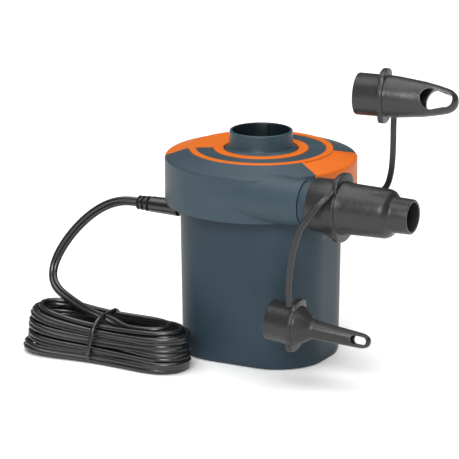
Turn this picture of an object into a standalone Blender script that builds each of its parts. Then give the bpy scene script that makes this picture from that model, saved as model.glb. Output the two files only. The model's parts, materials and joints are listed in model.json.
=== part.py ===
"""Electric air mattress pump: canister, round fan head with an outlet, tethered valve adapters and mains cord.

+Z is up and +X is along the outlet. The origin is the centre of the flat base, on the axis of the rotor.
The named sizes are millimetres. make_mesh turns them into metres.
"""

from math import cos, degrees, hypot, pi, radians, sin, sqrt

import bmesh
import bpy
from mathutils import Matrix, Vector

MM = 0.001
GAP = 0.3

# Fan head
HEAD_RADIUS = 52.0
HEAD_STEPS = 48
HEAD_WALL = 2.4
SKIRT_Z = 84.6
CREASE_Z = 109.5
TOP_Z = 113.3
RECESS_Z = 111.6
RECESS_RADIUS = 39.3
CEILING_Z = 109.4
PORT_RADIUS = 15.4
COLLAR_RADIUS = 17.2
COLLAR_TOP_Z = 123.4

# Orange wings: start angle, end angle, slant of the end's edge to the radius, and lowest height
WINGS = ((-29.0, 31.0, 29.0, 95.0), (137.0, 208.0, 0.0, CREASE_Z - 3.5))
WING_DEPTH = 1.4
WING_RECESS = 0.35

# Canister
CANISTER_HALF_X = 42.0
CANISTER_HALF_Y = 35.5
CANISTER_CORNER = 28.0
CANISTER_WALL = 2.0
BASE_SHRINK = 0.97
DECK_Z = 86.2
DECK_TOP_Z = 88.4
DECK_RADIUS = 49.3

# Outlet
OUTLET_Y = -38.8
OUTLET_Z = 97.4
DUCT_RADIUS = 12.5
DUCT_ROOT_RADIUS = 13.6
DUCT_BORE = 10.8
DUCT_END_X = 46.8
SPIGOT_RADIUS = 10.6
SPIGOT_END_X = 73.0
ADAPTER_START_X = 52.3
ADAPTER_FLANGE_X = 68.0
ADAPTER_TIP_X = 108.2

# Screws
HEAD_SCREW_ANGLES = (62, 118, 242)
HEAD_SCREW_RADIUS = 44.0
BASE_SCREW_X = 29.0
BASE_SCREW_Y = 22.5

# Rear wall
SWITCH_Z = 66.0
SWITCH_WIDTH = 20.0
SWITCH_HEIGHT = 14.0

# Cord
CORD_THICK = 4.4
GLAND_Y = -14.0
GLAND_Z = 77.6
GLAND_END_X = -68.0
HANK_HEIGHT = 21.2
HANK_CENTRE = (-66.5, -53.0)
HANK_HALF_LENGTH = 54.5
HANK_HALF_DEPTH = 17.0
TIE_X = -69.0
PLUG_CENTRE = (-47.0, 50.0)


# ---------------------------------------------------------------- helpers


def clear_scene():
    for obj in list(bpy.data.objects):
        bpy.data.objects.remove(obj, do_unlink=True)


def make_material(name, colour, roughness=0.5, metallic=0.0):
    material = bpy.data.materials.new(name)
    material.use_nodes = True
    shader = material.node_tree.nodes["Principled BSDF"]
    shader.inputs["Base Color"].default_value = (*colour, 1.0)
    shader.inputs["Roughness"].default_value = roughness
    shader.inputs["Metallic"].default_value = metallic
    material.diffuse_color = (*colour, 1.0)
    return material


def make_mesh(name, points, faces, material=None):
    """An object from points in millimetres, with its normals pointing out and round faces smooth."""
    mesh = bpy.data.meshes.new(name)
    mesh.from_pydata([Vector(point) * MM for point in points], [], faces)
    shape = bmesh.new()
    shape.from_mesh(mesh)
    bmesh.ops.remove_doubles(shape, verts=shape.verts, dist=1e-7)
    bmesh.ops.recalc_face_normals(shape, faces=shape.faces)
    shape.to_mesh(mesh)
    shape.free()
    finish_shading(mesh)
    obj = bpy.data.objects.new(name, mesh)
    bpy.context.scene.collection.objects.link(obj)
    if material:
        mesh.materials.append(material)
    return obj


def finish_shading(mesh):
    mesh.shade_smooth()
    mesh.set_sharp_from_angle(angle=radians(32))


def apply_boolean(obj, tools, operation):
    """Cuts the tools from obj, or joins them to it, and removes them."""
    for tool in tools:
        modifier = obj.modifiers.new(operation, "BOOLEAN")
        modifier.operation = operation
        modifier.solver = "EXACT"
        modifier.object = tool
        bpy.context.view_layer.update()
        graph = bpy.context.evaluated_depsgraph_get()
        result = bpy.data.meshes.new_from_object(obj.evaluated_get(graph))
        obj.modifiers.clear()
        obj.data = result
        bpy.data.objects.remove(tool, do_unlink=True)
    finish_shading(obj.data)
    return obj


def cut(obj, *tools):
    return apply_boolean(obj, tools, "DIFFERENCE")


def join(obj, *tools):
    return apply_boolean(obj, tools, "UNION")


def move(obj, x=0.0, y=0.0, z=0.0):
    obj.data.transform(Matrix.Translation(Vector((x, y, z)) * MM))
    return obj


def turn(obj, degrees_round, axis="Z"):
    obj.data.transform(Matrix.Rotation(radians(degrees_round), 4, axis))
    return obj


def lay_along_x(obj):
    """Turns a shape made round +Z so that it runs along +X, with its own +X then up along +Z."""
    obj.data.transform(Matrix(((0, 0, 1, 0), (0, -1, 0, 0), (1, 0, 0, 0), (0, 0, 0, 1))))
    return obj


def set_origin(obj, x, y, z):
    """Puts the object's origin on its joint, and leaves its shape where it is."""
    point = Vector((x, y, z)) * MM
    obj.data.transform(Matrix.Translation(-point))
    obj.location = point
    return obj


def turned(name, profile, material=None, segments=48, start=0.0, sweep=360.0):
    """A closed profile of (radius, z) turned about Z, all the way round or through a part of the turn."""
    full = sweep >= 360.0
    steps = segments if full else segments + 1
    points = []
    for step in range(steps):
        angle = radians(start + sweep * step / segments)
        points += [(r * cos(angle), r * sin(angle), z) for r, z in profile]
    size = len(profile)
    faces = []
    for step in range(segments):
        here = step * size
        there = ((step + 1) % steps) * size
        for i in range(size):
            j = (i + 1) % size
            if profile[i][0] == 0 and profile[j][0] == 0:
                continue
            if profile[i][0] == 0:
                faces.append((here + i, here + j, there + j))
            elif profile[j][0] == 0:
                faces.append((here + i, here + j, there + i))
            else:
                faces.append((here + i, here + j, there + j, there + i))
    if not full:
        faces.append(tuple(range(size)))
        faces.append(tuple(range((steps - 1) * size, steps * size)))
    return make_mesh(name, points, faces, material)


def rod(name, radius, low, high, material=None, segments=24):
    return turned(name, [(0, low), (radius, low), (radius, high), (0, high)], material, segments)


def ring(name, inner, outer, low, high, material=None, segments=48):
    return turned(name, [(inner, low), (outer, low), (outer, high), (inner, high)], material, segments)


def block(name, low, high, material=None):
    """A box from its lowest corner to its highest."""
    corners = [(x, y, z) for x in (low[0], high[0]) for y in (low[1], high[1]) for z in (low[2], high[2])]
    faces = [(0, 1, 3, 2), (4, 6, 7, 5), (0, 4, 5, 1), (2, 3, 7, 6), (0, 2, 6, 4), (1, 5, 7, 3)]
    return make_mesh(name, corners, faces, material)


def extruded(name, outline, low, high, material=None):
    """A flat outline of (x, y) raised from one height to another."""
    return lofted(name, [[(x, y, low) for x, y in outline], [(x, y, high) for x, y in outline]], material)


def lofted(name, sections, material=None):
    """A skin over closed sections with equal numbers of points, capped at both ends."""
    count = len(sections[0])
    points = [point for section in sections for point in section]
    faces = []
    for k in range(len(sections) - 1):
        for i in range(count):
            j = (i + 1) % count
            faces.append((k * count + i, k * count + j, (k + 1) * count + j, (k + 1) * count + i))
    faces.append(tuple(range(count)))
    faces.append(tuple(range((len(sections) - 1) * count, len(sections) * count)))
    return make_mesh(name, points, faces, material)


def rounded_rectangle(half_x, half_y, corner, steps=6):
    """The outline of a rectangle with round corners, anticlockwise from +X."""
    outline = []
    for quarter in range(4):
        sign_x = 1 if quarter in (0, 3) else -1
        sign_y = 1 if quarter in (0, 1) else -1
        for step in range(steps + 1):
            angle = radians(90 * quarter + 90 * step / steps)
            outline.append(
                (
                    sign_x * (half_x - corner) + corner * cos(angle),
                    sign_y * (half_y - corner) + corner * sin(angle),
                )
            )
    return outline


def smooth_points(route, spacing):
    """Evenly spaced points along a smooth curve through every point of the route."""
    route = [Vector(point) for point in route]
    ends = [2 * route[0] - route[1], *route, 2 * route[-1] - route[-2]]
    dense = []
    for a, b, c, d in zip(ends, ends[1:], ends[2:], ends[3:]):
        for step in range(24):
            t = step / 24
            dense.append(
                b
                + (c - a) * t / 2
                + (2 * a - 5 * b + 4 * c - d) * t**2 / 2
                + (3 * b - a - 3 * c + d) * t**3 / 2
            )
    dense.append(route[-1])
    total = sum((q - p).length for p, q in zip(dense, dense[1:]))
    count = max(2, round(total / spacing))
    points = [dense[0]]
    travelled = 0.0
    for p, q in zip(dense, dense[1:]):
        travelled += (q - p).length
        if travelled >= total * len(points) / count and len(points) < count:
            points.append(q)
    points.append(dense[-1])
    return points


def band(name, route, half_width, half_thick, facing, material, spacing=5.5):
    """A flat strap along a route, with its broad side turned to the facing direction."""
    points = smooth_points(route, spacing)
    outline = rounded_rectangle(half_width, half_thick, half_thick * 0.7, 2)
    sections = []
    for i, point in enumerate(points):
        along = (points[min(i + 1, len(points) - 1)] - points[max(i - 1, 0)]).normalized()
        across = along.cross(Vector(facing)).normalized()
        out = across.cross(along)
        sections.append([point + across * u + out * v for u, v in outline])
    return lofted(name, sections, material)


def tube(name, route, diameter, material):
    """A cord as a bevelled curve with filled caps."""
    points = smooth_points(route, diameter * 2.4)
    curve = bpy.data.curves.new(name, "CURVE")
    curve.dimensions = "3D"
    curve.bevel_depth = diameter / 2 * MM
    curve.bevel_resolution = 2
    curve.use_fill_caps = True
    spline = curve.splines.new("POLY")
    spline.points.add(len(points) - 1)
    for target, point in zip(spline.points, points):
        target.co = (*(point * MM), 1.0)
    curve.materials.append(material)
    obj = bpy.data.objects.new(name, curve)
    bpy.context.scene.collection.objects.link(obj)
    return obj


def on_circle(radius, angle):
    return radius * cos(radians(angle)), radius * sin(radians(angle))


# ---------------------------------------------------------------- materials


def make_materials():
    return {
        "head": make_material("head_shell", (0.033, 0.054, 0.068), 0.42),
        "canister": make_material("canister_shell", (0.024, 0.042, 0.057), 0.44),
        "collar": make_material("collar_plastic", (0.02, 0.038, 0.05), 0.36),
        "orange": make_material("orange_trim", (0.66, 0.11, 0.007), 0.42),
        "rubber": make_material("adapter_rubber", (0.02, 0.02, 0.0205), 0.4),
        "cord": make_material("cord_sheath", (0.006, 0.006, 0.006), 0.3),
        "fan": make_material("fan_plastic", (0.5, 0.5, 0.48), 0.5),
        "steel": make_material("steel", (0.55, 0.55, 0.56), 0.35, 1.0),
        "iron": make_material("lamination_iron", (0.3, 0.3, 0.31), 0.5, 1.0),
        "copper": make_material("copper", (0.72, 0.3, 0.15), 0.35, 1.0),
        "carbon": make_material("carbon", (0.03, 0.03, 0.03), 0.7),
        "brass": make_material("brass", (0.7, 0.5, 0.2), 0.35, 1.0),
        "board": make_material("insulating_board", (0.2, 0.12, 0.06), 0.7),
    }


# ---------------------------------------------------------------- fan head


def head_outline(offset=0.0, low=SKIRT_Z):
    """The closed profile of the head from its axis: top, slope, crease and wall, moved in by offset."""
    return [
        (0, low),
        (HEAD_RADIUS - offset, low),
        (HEAD_RADIUS - offset, CREASE_Z - 1.3 - offset * 0.7),
        (HEAD_RADIUS - 0.45 - offset, CREASE_Z - 0.25 - offset * 0.85),
        (HEAD_RADIUS - 1.6 - offset * 0.9, CREASE_Z + 0.2 - offset),
        (RECESS_RADIUS, TOP_Z - offset),
        (0, TOP_Z - offset),
    ]


def outlet_tube(name, start, end, radius, material=None, segments=36):
    shape = rod(name, radius, start, end, material, segments)
    return move(lay_along_x(shape), 0, OUTLET_Y, OUTLET_Z)


def wing(name, offsets, side, clearance=0.0):
    """A shell over the edge of the head, through a part of the turn. Its far edge may slant to the radius."""
    start, end, slant, low = WINGS[side]
    inner = head_outline(offsets[0], low - clearance)[1:-1]
    outer = head_outline(offsets[1], low - clearance)[1:-1]
    inner[-1] = (RECESS_RADIUS - 1.5, inner[-1][1])
    outer[-1] = (RECESS_RADIUS - 1.5, outer[-1][1])
    extra = degrees(clearance / HEAD_RADIUS)
    sweep = end - start + (6 if slant else extra)
    shape = turned(name, outer + inner[::-1], None, 10, start - extra, sweep + extra)
    if slant:
        far_side = turn(block("far_side", (-40, clearance, 80), (40, 40, 130)), end + slant)
        cut(shape, move(far_side, *on_circle(HEAD_RADIUS, end)))
    return shape


def make_upper_housing(material):
    """The head: a skirted cap with a tangential duct, an open port, recesses for the trim and screw bosses."""
    shell = turned("upper_housing", head_outline(), material, HEAD_STEPS)
    duct_profile = [
        (0, -9),
        (11.0, -9),
        (12.9, -3.5),
        (DUCT_ROOT_RADIUS, 0.5),
        (DUCT_RADIUS, DUCT_END_X),
        (0, DUCT_END_X),
    ]
    duct = turned("duct", duct_profile, None, 36)
    join(shell, move(lay_along_x(duct), 0, OUTLET_Y, OUTLET_Z))
    hollow = turned(
        "hollow",
        [
            (0, SKIRT_Z - 5),
            (HEAD_RADIUS - HEAD_WALL, SKIRT_Z - 5),
            (HEAD_RADIUS - HEAD_WALL, CREASE_Z - 4.4),
            (HEAD_RADIUS - 5.6, CREASE_Z - 2.6),
            (RECESS_RADIUS, CEILING_Z),
            (0, CEILING_Z),
        ],
        None,
        HEAD_STEPS,
    )
    cut(shell, hollow, outlet_tube("duct_bore", -6, DUCT_END_X + 5, DUCT_BORE))
    cut(shell, ring("recess", 17.9, RECESS_RADIUS, RECESS_Z, TOP_Z + 5, None, HEAD_STEPS))
    cut(shell, rod("neck", 19.9, RECESS_Z, TOP_Z + 5, None, 32))
    cut(shell, rod("port", PORT_RADIUS, 90, TOP_Z + 5, None, 32))
    for side in range(len(WINGS)):
        cut(shell, wing("pocket", (WING_DEPTH + 0.15, -3.0), side, GAP))
    for i, angle in enumerate(HEAD_SCREW_ANGLES):
        x, y = on_circle(HEAD_SCREW_RADIUS, angle)
        join(shell, move(rod(f"boss_{i}", 3.3, DECK_TOP_Z + GAP, 108.6, None, 20), x, y))
        cut(shell, move(rod(f"pilot_{i}", 1.35, 80, 102, None, 12), x, y))
    cut(shell, block("gland_notch", (-60, GLAND_Y - 9.5, SKIRT_Z - 3), (-49, GLAND_Y + 9.5, SKIRT_Z + 1.2)))
    return shell


def make_trim(material):
    """Two raised rings joined by a thin web, with one wing over the edge by the outlet and one opposite."""
    web = (RECESS_Z + GAP, RECESS_Z + 1.1)
    raised = TOP_Z + 0.35
    profile = [
        (20.3, web[0]),
        (39.0, web[0]),
        (39.0, raised - 0.3),
        (38.7, raised),
        (35.5, raised),
        (35.2, raised - 0.3),
        (35.2, web[1]),
        (25.6, web[1]),
        (25.6, raised - 0.3),
        (25.3, raised),
        (20.6, raised),
        (20.3, raised - 0.3),
    ]
    trim = turned("trim_ring", profile, material, HEAD_STEPS)
    start, end = WINGS[1][:2]
    fill = [(24.3, web[0] + 0.15), (36.6, web[0] + 0.15), (36.6, raised - 0.22), (24.3, raised - 0.22)]
    join(trim, turned("fill", fill, None, 12, start + 0.9, end - start - 1.8))
    for side in range(len(WINGS)):
        join(trim, wing("wing", (WING_DEPTH - 0.15, WING_RECESS), side))
    slot_x, slot_y = on_circle(45.5, 141)
    slot = turn(block("slot", (-3.2, -0.7, -1), (3.2, 0.7, 1)), 141 + 90)
    cut(trim, move(slot, slot_x, slot_y, 112.4))
    return trim


def make_label_ring(material):
    """The grey arc between the orange rings, with low concentric ridges."""
    low = RECESS_Z + 1.4
    top = TOP_Z - 0.1
    profile = [(25.9, low), (34.9, low), (34.9, top)]
    for ridge in (33.2, 29.6):
        profile += [(ridge, top), (ridge - 0.4, top + 0.35), (ridge - 2.0, top + 0.35), (ridge - 2.4, top)]
    profile.append((25.9, top))
    start, end = WINGS[1][:2]
    return turned("label_ring", profile, material, 32, end, 360 - (end - start))


def make_port_collar(material):
    """The raised intake collar with a spread foot."""
    low = RECESS_Z + GAP
    profile = [
        (PORT_RADIUS, low),
        (19.6, low),
        (19.6, TOP_Z + 0.2),
        (18.0, TOP_Z + 0.9),
        (COLLAR_RADIUS, TOP_Z + 2.2),
        (COLLAR_RADIUS - 0.2, COLLAR_TOP_Z - 0.6),
        (COLLAR_RADIUS - 0.8, COLLAR_TOP_Z),
        (PORT_RADIUS + 0.3, COLLAR_TOP_Z),
        (PORT_RADIUS, COLLAR_TOP_Z - 0.4),
    ]
    return turned("port_collar", profile, material, 32)


def make_intake_grille(material):
    """A finger guard of rings and spokes, set inside the collar."""
    low, high = 114.6, 116.4
    grille = ring("intake_grille", 13.6, PORT_RADIUS - GAP, low, high, material, 24)
    spokes = []
    for k in range(4):
        spoke = block(f"spoke_{k}", (-14.2, -0.7, low + 0.2), (14.2, 0.7, high - 0.2))
        spokes.append(turn(spoke, 45 * k))
    join(grille, *spokes)
    join(grille, ring("middle", 8.0, 9.3, low + 0.1, high - 0.1, None, 20))
    join(grille, rod("hub", 3.2, low, high, None, 12))
    return grille


# ---------------------------------------------------------------- canister


def canister_outline(z, inset=0.0):
    share = BASE_SHRINK + (1 - BASE_SHRINK) * z / DECK_TOP_Z
    half_x = CANISTER_HALF_X * share - inset
    half_y = CANISTER_HALF_Y * share - inset
    return rounded_rectangle(half_x, half_y, CANISTER_CORNER * share - inset, 6)


def canister_solid(name, inset, low, high, rounding=0.0, material=None):
    levels = [low, high]
    if rounding:
        levels = [low, low + rounding * 0.3, low + rounding, high]
    sections = []
    for z in levels:
        depth = max(0.0, low + rounding - z)
        round_inset = rounding - sqrt(max(0.0, rounding**2 - depth**2)) if rounding else 0.0
        sections.append([(x, y, z) for x, y in canister_outline(max(z, 0), inset + round_inset)])
    return lofted(name, sections, material)


def base_corners():
    return [(sx * BASE_SCREW_X, sy * BASE_SCREW_Y) for sx in (1, -1) for sy in (1, -1)]


def make_lower_housing(material):
    """The canister: tapered walls open at both ends, screw bosses, vents, and holes for switch and cord."""
    shell = canister_solid("lower_housing", 0.0, 0.0, DECK_Z - GAP, 1.8, material)
    cut(shell, canister_solid("inside", CANISTER_WALL, -3.0, DECK_Z + 3))
    for i, (x, y) in enumerate(base_corners()):
        join(shell, move(rod(f"boss_{i}", 4.0, 3.2, 16, None, 20), x, y))
        rib = block(f"rib_{i}", (min(x, x * 1.25), y - 1.2, 3.2), (max(x, x * 1.25), y + 1.2, 14))
        join(shell, rib)
        cut(shell, move(rod(f"pilot_{i}", 1.35, 0, 13, None, 12), x, y))
    half_x = SWITCH_WIDTH / 2 + GAP
    half_z = SWITCH_HEIGHT / 2 + GAP
    cut(shell, block("switch_hole", (-half_x, 25, SWITCH_Z - half_z), (half_x, 45, SWITCH_Z + half_z)))
    for k in range(6):
        x = -17.5 + 7.0 * k
        cut(shell, block(f"vent_{k}", (x - 1.5, 25, 24), (x + 1.5, 45, 46)))
    gland = move(lay_along_x(rod("gland_hole", 4.3, -46, -36, None, 24)), 0, GLAND_Y, GLAND_Z)
    return cut(shell, gland)


def make_head_deck(material):
    """The round deck that closes the head from below, with holes for the shaft and the head's three screws."""
    deck = ring("head_deck", 12.0, DECK_RADIUS, DECK_Z, DECK_TOP_Z, material, HEAD_STEPS)
    for i, angle in enumerate(HEAD_SCREW_ANGLES):
        x, y = on_circle(HEAD_SCREW_RADIUS, angle)
        cut(deck, move(rod(f"screw_hole_{i}", 2.0, 80, 92, None, 12), x, y))
    return deck


def make_base_cover(material):
    """The flat cover that closes the canister, flush with its foot, with four countersunk screw holes."""
    cover = canister_solid("base_cover", CANISTER_WALL + GAP, 0.0, 2.9, 0.0, material)
    for i, (x, y) in enumerate(base_corners()):
        hole = turned(f"hole_{i}", [(0, -1), (3.3, -1), (3.3, 1.5), (1.9, 1.5), (1.9, 4), (0, 4)], None, 20)
        cut(cover, move(hole, x, y))
    return cover


def make_screw(name, x, y, head_low, tip_high, material, head_radius=2.9):
    """A pan-head screw that points up, with a cross slot in its head."""
    profile = [
        (0, head_low),
        (head_radius, head_low),
        (head_radius, head_low + 1.2),
        (1.0, head_low + 1.25),
        (1.0, tip_high - 1),
        (0, tip_high),
    ]
    screw = turned(name, profile, material, 12)
    cut(screw, block("slot_a", (-1.6, -0.3, head_low - 1), (1.6, 0.3, head_low + 0.6)))
    cut(screw, block("slot_b", (-0.3, -1.6, head_low - 1), (0.3, 1.6, head_low + 0.6)))
    return move(screw, x, y)


def make_screws(material):
    for i, (x, y) in enumerate(base_corners()):
        make_screw(f"base_screw_{i + 1}", x, y, 0.2, 11.5, material)
    for i, angle in enumerate(HEAD_SCREW_ANGLES):
        x, y = on_circle(HEAD_SCREW_RADIUS, angle)
        make_screw(f"head_screw_{i + 1}", x, y, DECK_Z - 1.5, 100.5, material)


def make_switch(materials):
    """A rocker switch in a snap-in frame on the rear wall."""
    wall_y = CANISTER_HALF_Y * (BASE_SHRINK + (1 - BASE_SHRINK) * SWITCH_Z / DECK_TOP_Z)
    half_x = SWITCH_WIDTH / 2
    half_z = SWITCH_HEIGHT / 2
    frame = block(
        "switch_frame",
        (-half_x - 1.6, wall_y + GAP, SWITCH_Z - half_z - 1.6),
        (half_x + 1.6, wall_y + 2.0, SWITCH_Z + half_z + 1.6),
        materials["rubber"],
    )
    sleeve_low = (-half_x, wall_y - 11, SWITCH_Z - half_z)
    sleeve_high = (half_x, wall_y + 1, SWITCH_Z + half_z)
    join(frame, block("sleeve", sleeve_low, sleeve_high))
    cut(
        frame,
        block(
            "well",
            (-half_x + 1.2, wall_y - 8, SWITCH_Z - half_z + 1.2),
            (half_x - 1.2, wall_y + 5, SWITCH_Z + half_z - 1.2),
        ),
    )
    pivot_y = wall_y - 1.5
    half_rocker = half_x - 1.6
    outline = [(-4.7, 3.9), (-4.6, 4.6), (0.0, 3.6), (4.6, 5.4), (4.7, 4.6), (2.0, -3.2), (-2.0, -3.2)]
    low = [(-half_rocker, pivot_y + out, SWITCH_Z + up) for up, out in outline]
    high = [(half_rocker, y, z) for _, y, z in low]
    rocker = lofted("switch_rocker", [low, high], materials["orange"])
    set_origin(rocker, 0, pivot_y, SWITCH_Z)


# ---------------------------------------------------------------- fan


def spiral_outline(inset):
    """The scroll's outline seen from above. Its radius grows anticlockwise from the tongue to the outlet."""
    points = []
    for step in range(31):
        angle = 300 + 330 * step / 30
        radius = 31.5 + 8.6 * step / 30 - inset
        points.append(on_circle(radius, angle))
    return points


def make_volute(material):
    """The scroll round the impeller, open on top, with a round tangential outlet."""
    casing = extruded("volute_casing", spiral_outline(0), DECK_TOP_Z + GAP, 107.0, material)
    join(casing, outlet_tube("neck", -4, 27, 8.4, None, 28))
    cut(casing, extruded("chamber", spiral_outline(1.7), 90.4, 112))
    cut(casing, outlet_tube("neck_bore", -6, 30, 7.0, None, 28))
    cut(casing, rod("shaft_hole", 4.5, 80, 95, None, 20))
    return casing


def make_volute_cover(material):
    """The lid of the scroll, with the eye through which the impeller draws air."""
    cover = extruded("volute_cover", spiral_outline(0), 107.3, 108.6, material)
    join(cover, ring("eye_neck", 12.6, 14.6, 107.5, 113.6, None, 28))
    cut(cover, rod("eye", 12.6, 100, 120, None, 28))
    return cover


def impeller_blade(k, count):
    """One backward-curved blade from the eye to the rim."""
    inner, outer = [], []
    for step in range(5):
        share = step / 4
        radius = 8.5 + 19.0 * share
        angle = 360 * k / count - 42 * share
        spread = degrees(0.6 / radius)
        inner.append(on_circle(radius, angle - spread))
        outer.append(on_circle(radius, angle + spread))
    outline = inner + outer[::-1]
    low = [(x, y, 92.4) for x, y in outline]
    high = [(x, y, 105.5 - 0.28 * (hypot(x, y) - 8.5)) for x, y in outline]
    return lofted(f"blade_{k}", [low, high])


def make_impeller(material):
    """An open centrifugal wheel with nine blades on a back plate."""
    profile = [
        (2.3, 91.4),
        (28.0, 91.4),
        (28.0, 92.8),
        (9.5, 92.8),
        (6.2, 95.5),
        (6.0, 99.0),
        (2.3, 99.0),
    ]
    wheel = turned("impeller", profile, material, 30)
    count = 9
    for k in range(count):
        join(wheel, impeller_blade(k, count))
    return wheel


def make_impeller_nut(material):
    """The hexagonal nut that holds the impeller on the shaft."""
    outline = [on_circle(4.0, 60 * k) for k in range(6)]
    nut = extruded("impeller_nut", outline, 99.3, 102.2, material)
    return cut(nut, rod("thread", 2.3, 95, 110, None, 16))


def make_outlet_spigot(material):
    """The grey outlet pipe: it sits in the duct, shows as a ring at its mouth and carries the adapter."""
    profile = [
        (7.0, 27.3),
        (8.4, 27.3),
        (8.4, 38.0),
        (10.4, 38.0),
        (10.4, DUCT_END_X + GAP),
        (12.2, DUCT_END_X + GAP),
        (12.4, DUCT_END_X + 0.8),
        (12.4, ADAPTER_START_X - 0.8),
        (12.0, ADAPTER_START_X - GAP),
        (SPIGOT_RADIUS, ADAPTER_START_X - GAP),
        (SPIGOT_RADIUS, SPIGOT_END_X - 1),
        (SPIGOT_RADIUS - 0.6, SPIGOT_END_X),
        (9.0, SPIGOT_END_X),
        (9.0, 50.0),
        (7.0, 40.0),
    ]
    spigot = move(lay_along_x(turned("outlet_spigot", profile, material, 26)), 0, OUTLET_Y, OUTLET_Z)
    lug_low = (55.4, OUTLET_Y - 3.4, OUTLET_Z - 18.7)
    lug_high = (57.2, OUTLET_Y + 3.4, OUTLET_Z - 9.8)
    join(spigot, block("lug", lug_low, lug_high))
    return spigot


# ---------------------------------------------------------------- adapters


def lobed_flange(inner_radius, round_radius, lobe_radius, low, high):
    """A ring with a finger lobe at each end of a diameter. The lobes lie along the shape's own X."""
    outline = []
    count = 32
    for k in range(count):
        angle = 360 * k / count
        away = abs((angle + 90) % 180 - 90)
        share = max(0.0, 1 - (away / 46) ** 2)
        outline.append(on_circle(round_radius + (lobe_radius - round_radius) * min(1.0, 1.6 * share), angle))
    return cut(extruded("flange", outline, low, high), rod("inside", inner_radius, low - 2, high + 2))


def make_nozzle_adapter(material):
    """The large adapter: a collar that slides on the spigot, a lobed flange, a cone and a tip for the valve."""
    start, flange, tip = ADAPTER_START_X, ADAPTER_FLANGE_X, ADAPTER_TIP_X
    bore = SPIGOT_RADIUS + 0.4
    profile = [
        (bore, start),
        (14.0, start),
        (14.3, start + 0.6),
        (14.3, flange + 1.4),
        (13.9, flange + 2.8),
        (13.5, flange + 6),
        (13.0, tip - 14.5),
        (12.2, tip - 12.0),
        (10.6, tip - 10.6),
        (9.6, tip - 9.6),
        (9.2, tip - 0.6),
        (8.8, tip),
        (7.6, tip),
        (7.8, tip - 12),
        (bore, flange + 7.5),
    ]
    adapter = turned("nozzle_adapter", profile, material, 28)
    join(adapter, lobed_flange(12.5, 15.0, 18.4, flange - 1.6, flange + 1.2))
    gusset = [(-13.0, 58.0), (-14.3, 58.0), (-18.0, flange - 0.8), (-13.0, flange - 0.8)]
    join(adapter, lofted("gusset", [[(x, y, z) for x, z in gusset] for y in (-3.5, 3.5)]))
    cut(adapter, block("slot", (-20, -4.0, start - 2), (-9, 4.0, 57.5)))
    move(lay_along_x(adapter), 0, OUTLET_Y, OUTLET_Z)
    return set_origin(adapter, ADAPTER_START_X, OUTLET_Y, OUTLET_Z)


UPPER_VALVE_AT = (90.5, -37.3, 159.4)
UPPER_VALVE_YAW = 9.0
UPPER_VALVE_PITCH = 0.8
LOWER_VALVE_AT = (47.4, -51.5, 33.9)
LOWER_VALVE_YAW = 2.5
LOWER_VALVE_PITCH = 5.4


def place_along(obj, at, yaw, pitch):
    """Lays a shape made round +Z along +X, tips it down, turns it and moves its flange to the point."""
    lay_along_x(obj)
    turn(obj, pitch, "Y")
    turn(obj, yaw, "Z")
    return move(obj, *at)


def eyelet_window(near, far, tilt):
    """The cutter of a long hole with round ends, each (height, radius). It slopes down to the back."""
    outline = []
    for (height, radius), first in ((far, 0), (near, 180)):
        corners = [on_circle(radius, first + step) for step in range(0, 181, 30)]
        outline += [(across, height + up) for across, up in corners]
    sections = [[(across, y, up) for across, up in outline] for y in (-16, 16)]
    return turn(lofted("window", sections), -tilt, "Z")


def make_upper_valve_adapter(material):
    """The small adapter with a wide barrel and a long eyelet through its rounded tip."""
    profile = [
        (8.4, -14.6),
        (10.6, -14.6),
        (10.9, -14.0),
        (10.9, 3.5),
        (10.6, 8.0),
        (9.1, 21.3),
        (6.7, 32.9),
        (5.2, 36.3),
        (3.0, 38.5),
        (0, 39.2),
        (0, 37.0),
        (2.6, 36.0),
        (4.8, 32.0),
        (8.2, 14.0),
        (8.4, 13.0),
    ]
    valve = turned("upper_valve_adapter", profile, material, 24)
    join(valve, lobed_flange(9.6, 11.9, 14.3, -1.5, 1.5))
    cut(valve, eyelet_window((26.3, 6.0), (32.8, 4.1), 25))
    return place_along(valve, UPPER_VALVE_AT, UPPER_VALVE_YAW, UPPER_VALVE_PITCH)


def make_lower_valve_adapter(material):
    """The small adapter with a short cone and a thin stem that ends in an eyelet."""
    profile = [
        (8.4, -14.6),
        (10.6, -14.6),
        (10.9, -14.0),
        (10.9, 1.6),
        (5.5, 9.6),
        (5.1, 11.0),
        (4.1, 37.5),
        (3.2, 40.8),
        (1.6, 42.4),
        (0, 42.8),
        (0, 41.4),
        (1.5, 40.7),
        (2.7, 37.0),
        (2.9, 16.0),
        (3.6, 10.0),
        (7.4, 3.0),
        (8.4, 1.0),
    ]
    valve = turned("lower_valve_adapter", profile, material, 24)
    join(valve, lobed_flange(9.6, 11.9, 14.3, -1.5, 1.5))
    cut(valve, eyelet_window((34.6, 2.35), (39.1, 2.15), 15))
    return place_along(valve, LOWER_VALVE_AT, LOWER_VALVE_YAW, LOWER_VALVE_PITCH)


UPPER_STRAP = (
    (69.0, -22.6, 98.2),
    (74.0, -20.8, 99.6),
    (80.0, -20.6, 102.4),
    (84.7, -21.0, 107.0),
    (87.2, -21.6, 114.0),
    (88.4, -22.2, 122.0),
    (89.0, -22.8, 132.0),
    (89.2, -23.2, 140.0),
    (89.6, -23.6, 147.5),
    (90.2, -23.8, 153.0),
)
LOWER_STRAP = (
    (68.0, -50.9, 109.0),
    (66.4, -54.2, 106.6),
    (63.3, -57.0, 103.1),
    (58.5, -59.2, 96.1),
    (54.1, -60.4, 89.4),
    (50.9, -61.2, 79.7),
    (48.8, -61.2, 68.2),
    (47.5, -60.6, 57.0),
    (47.4, -59.8, 50.5),
    (47.4, -59.3, 46.2),
)


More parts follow.
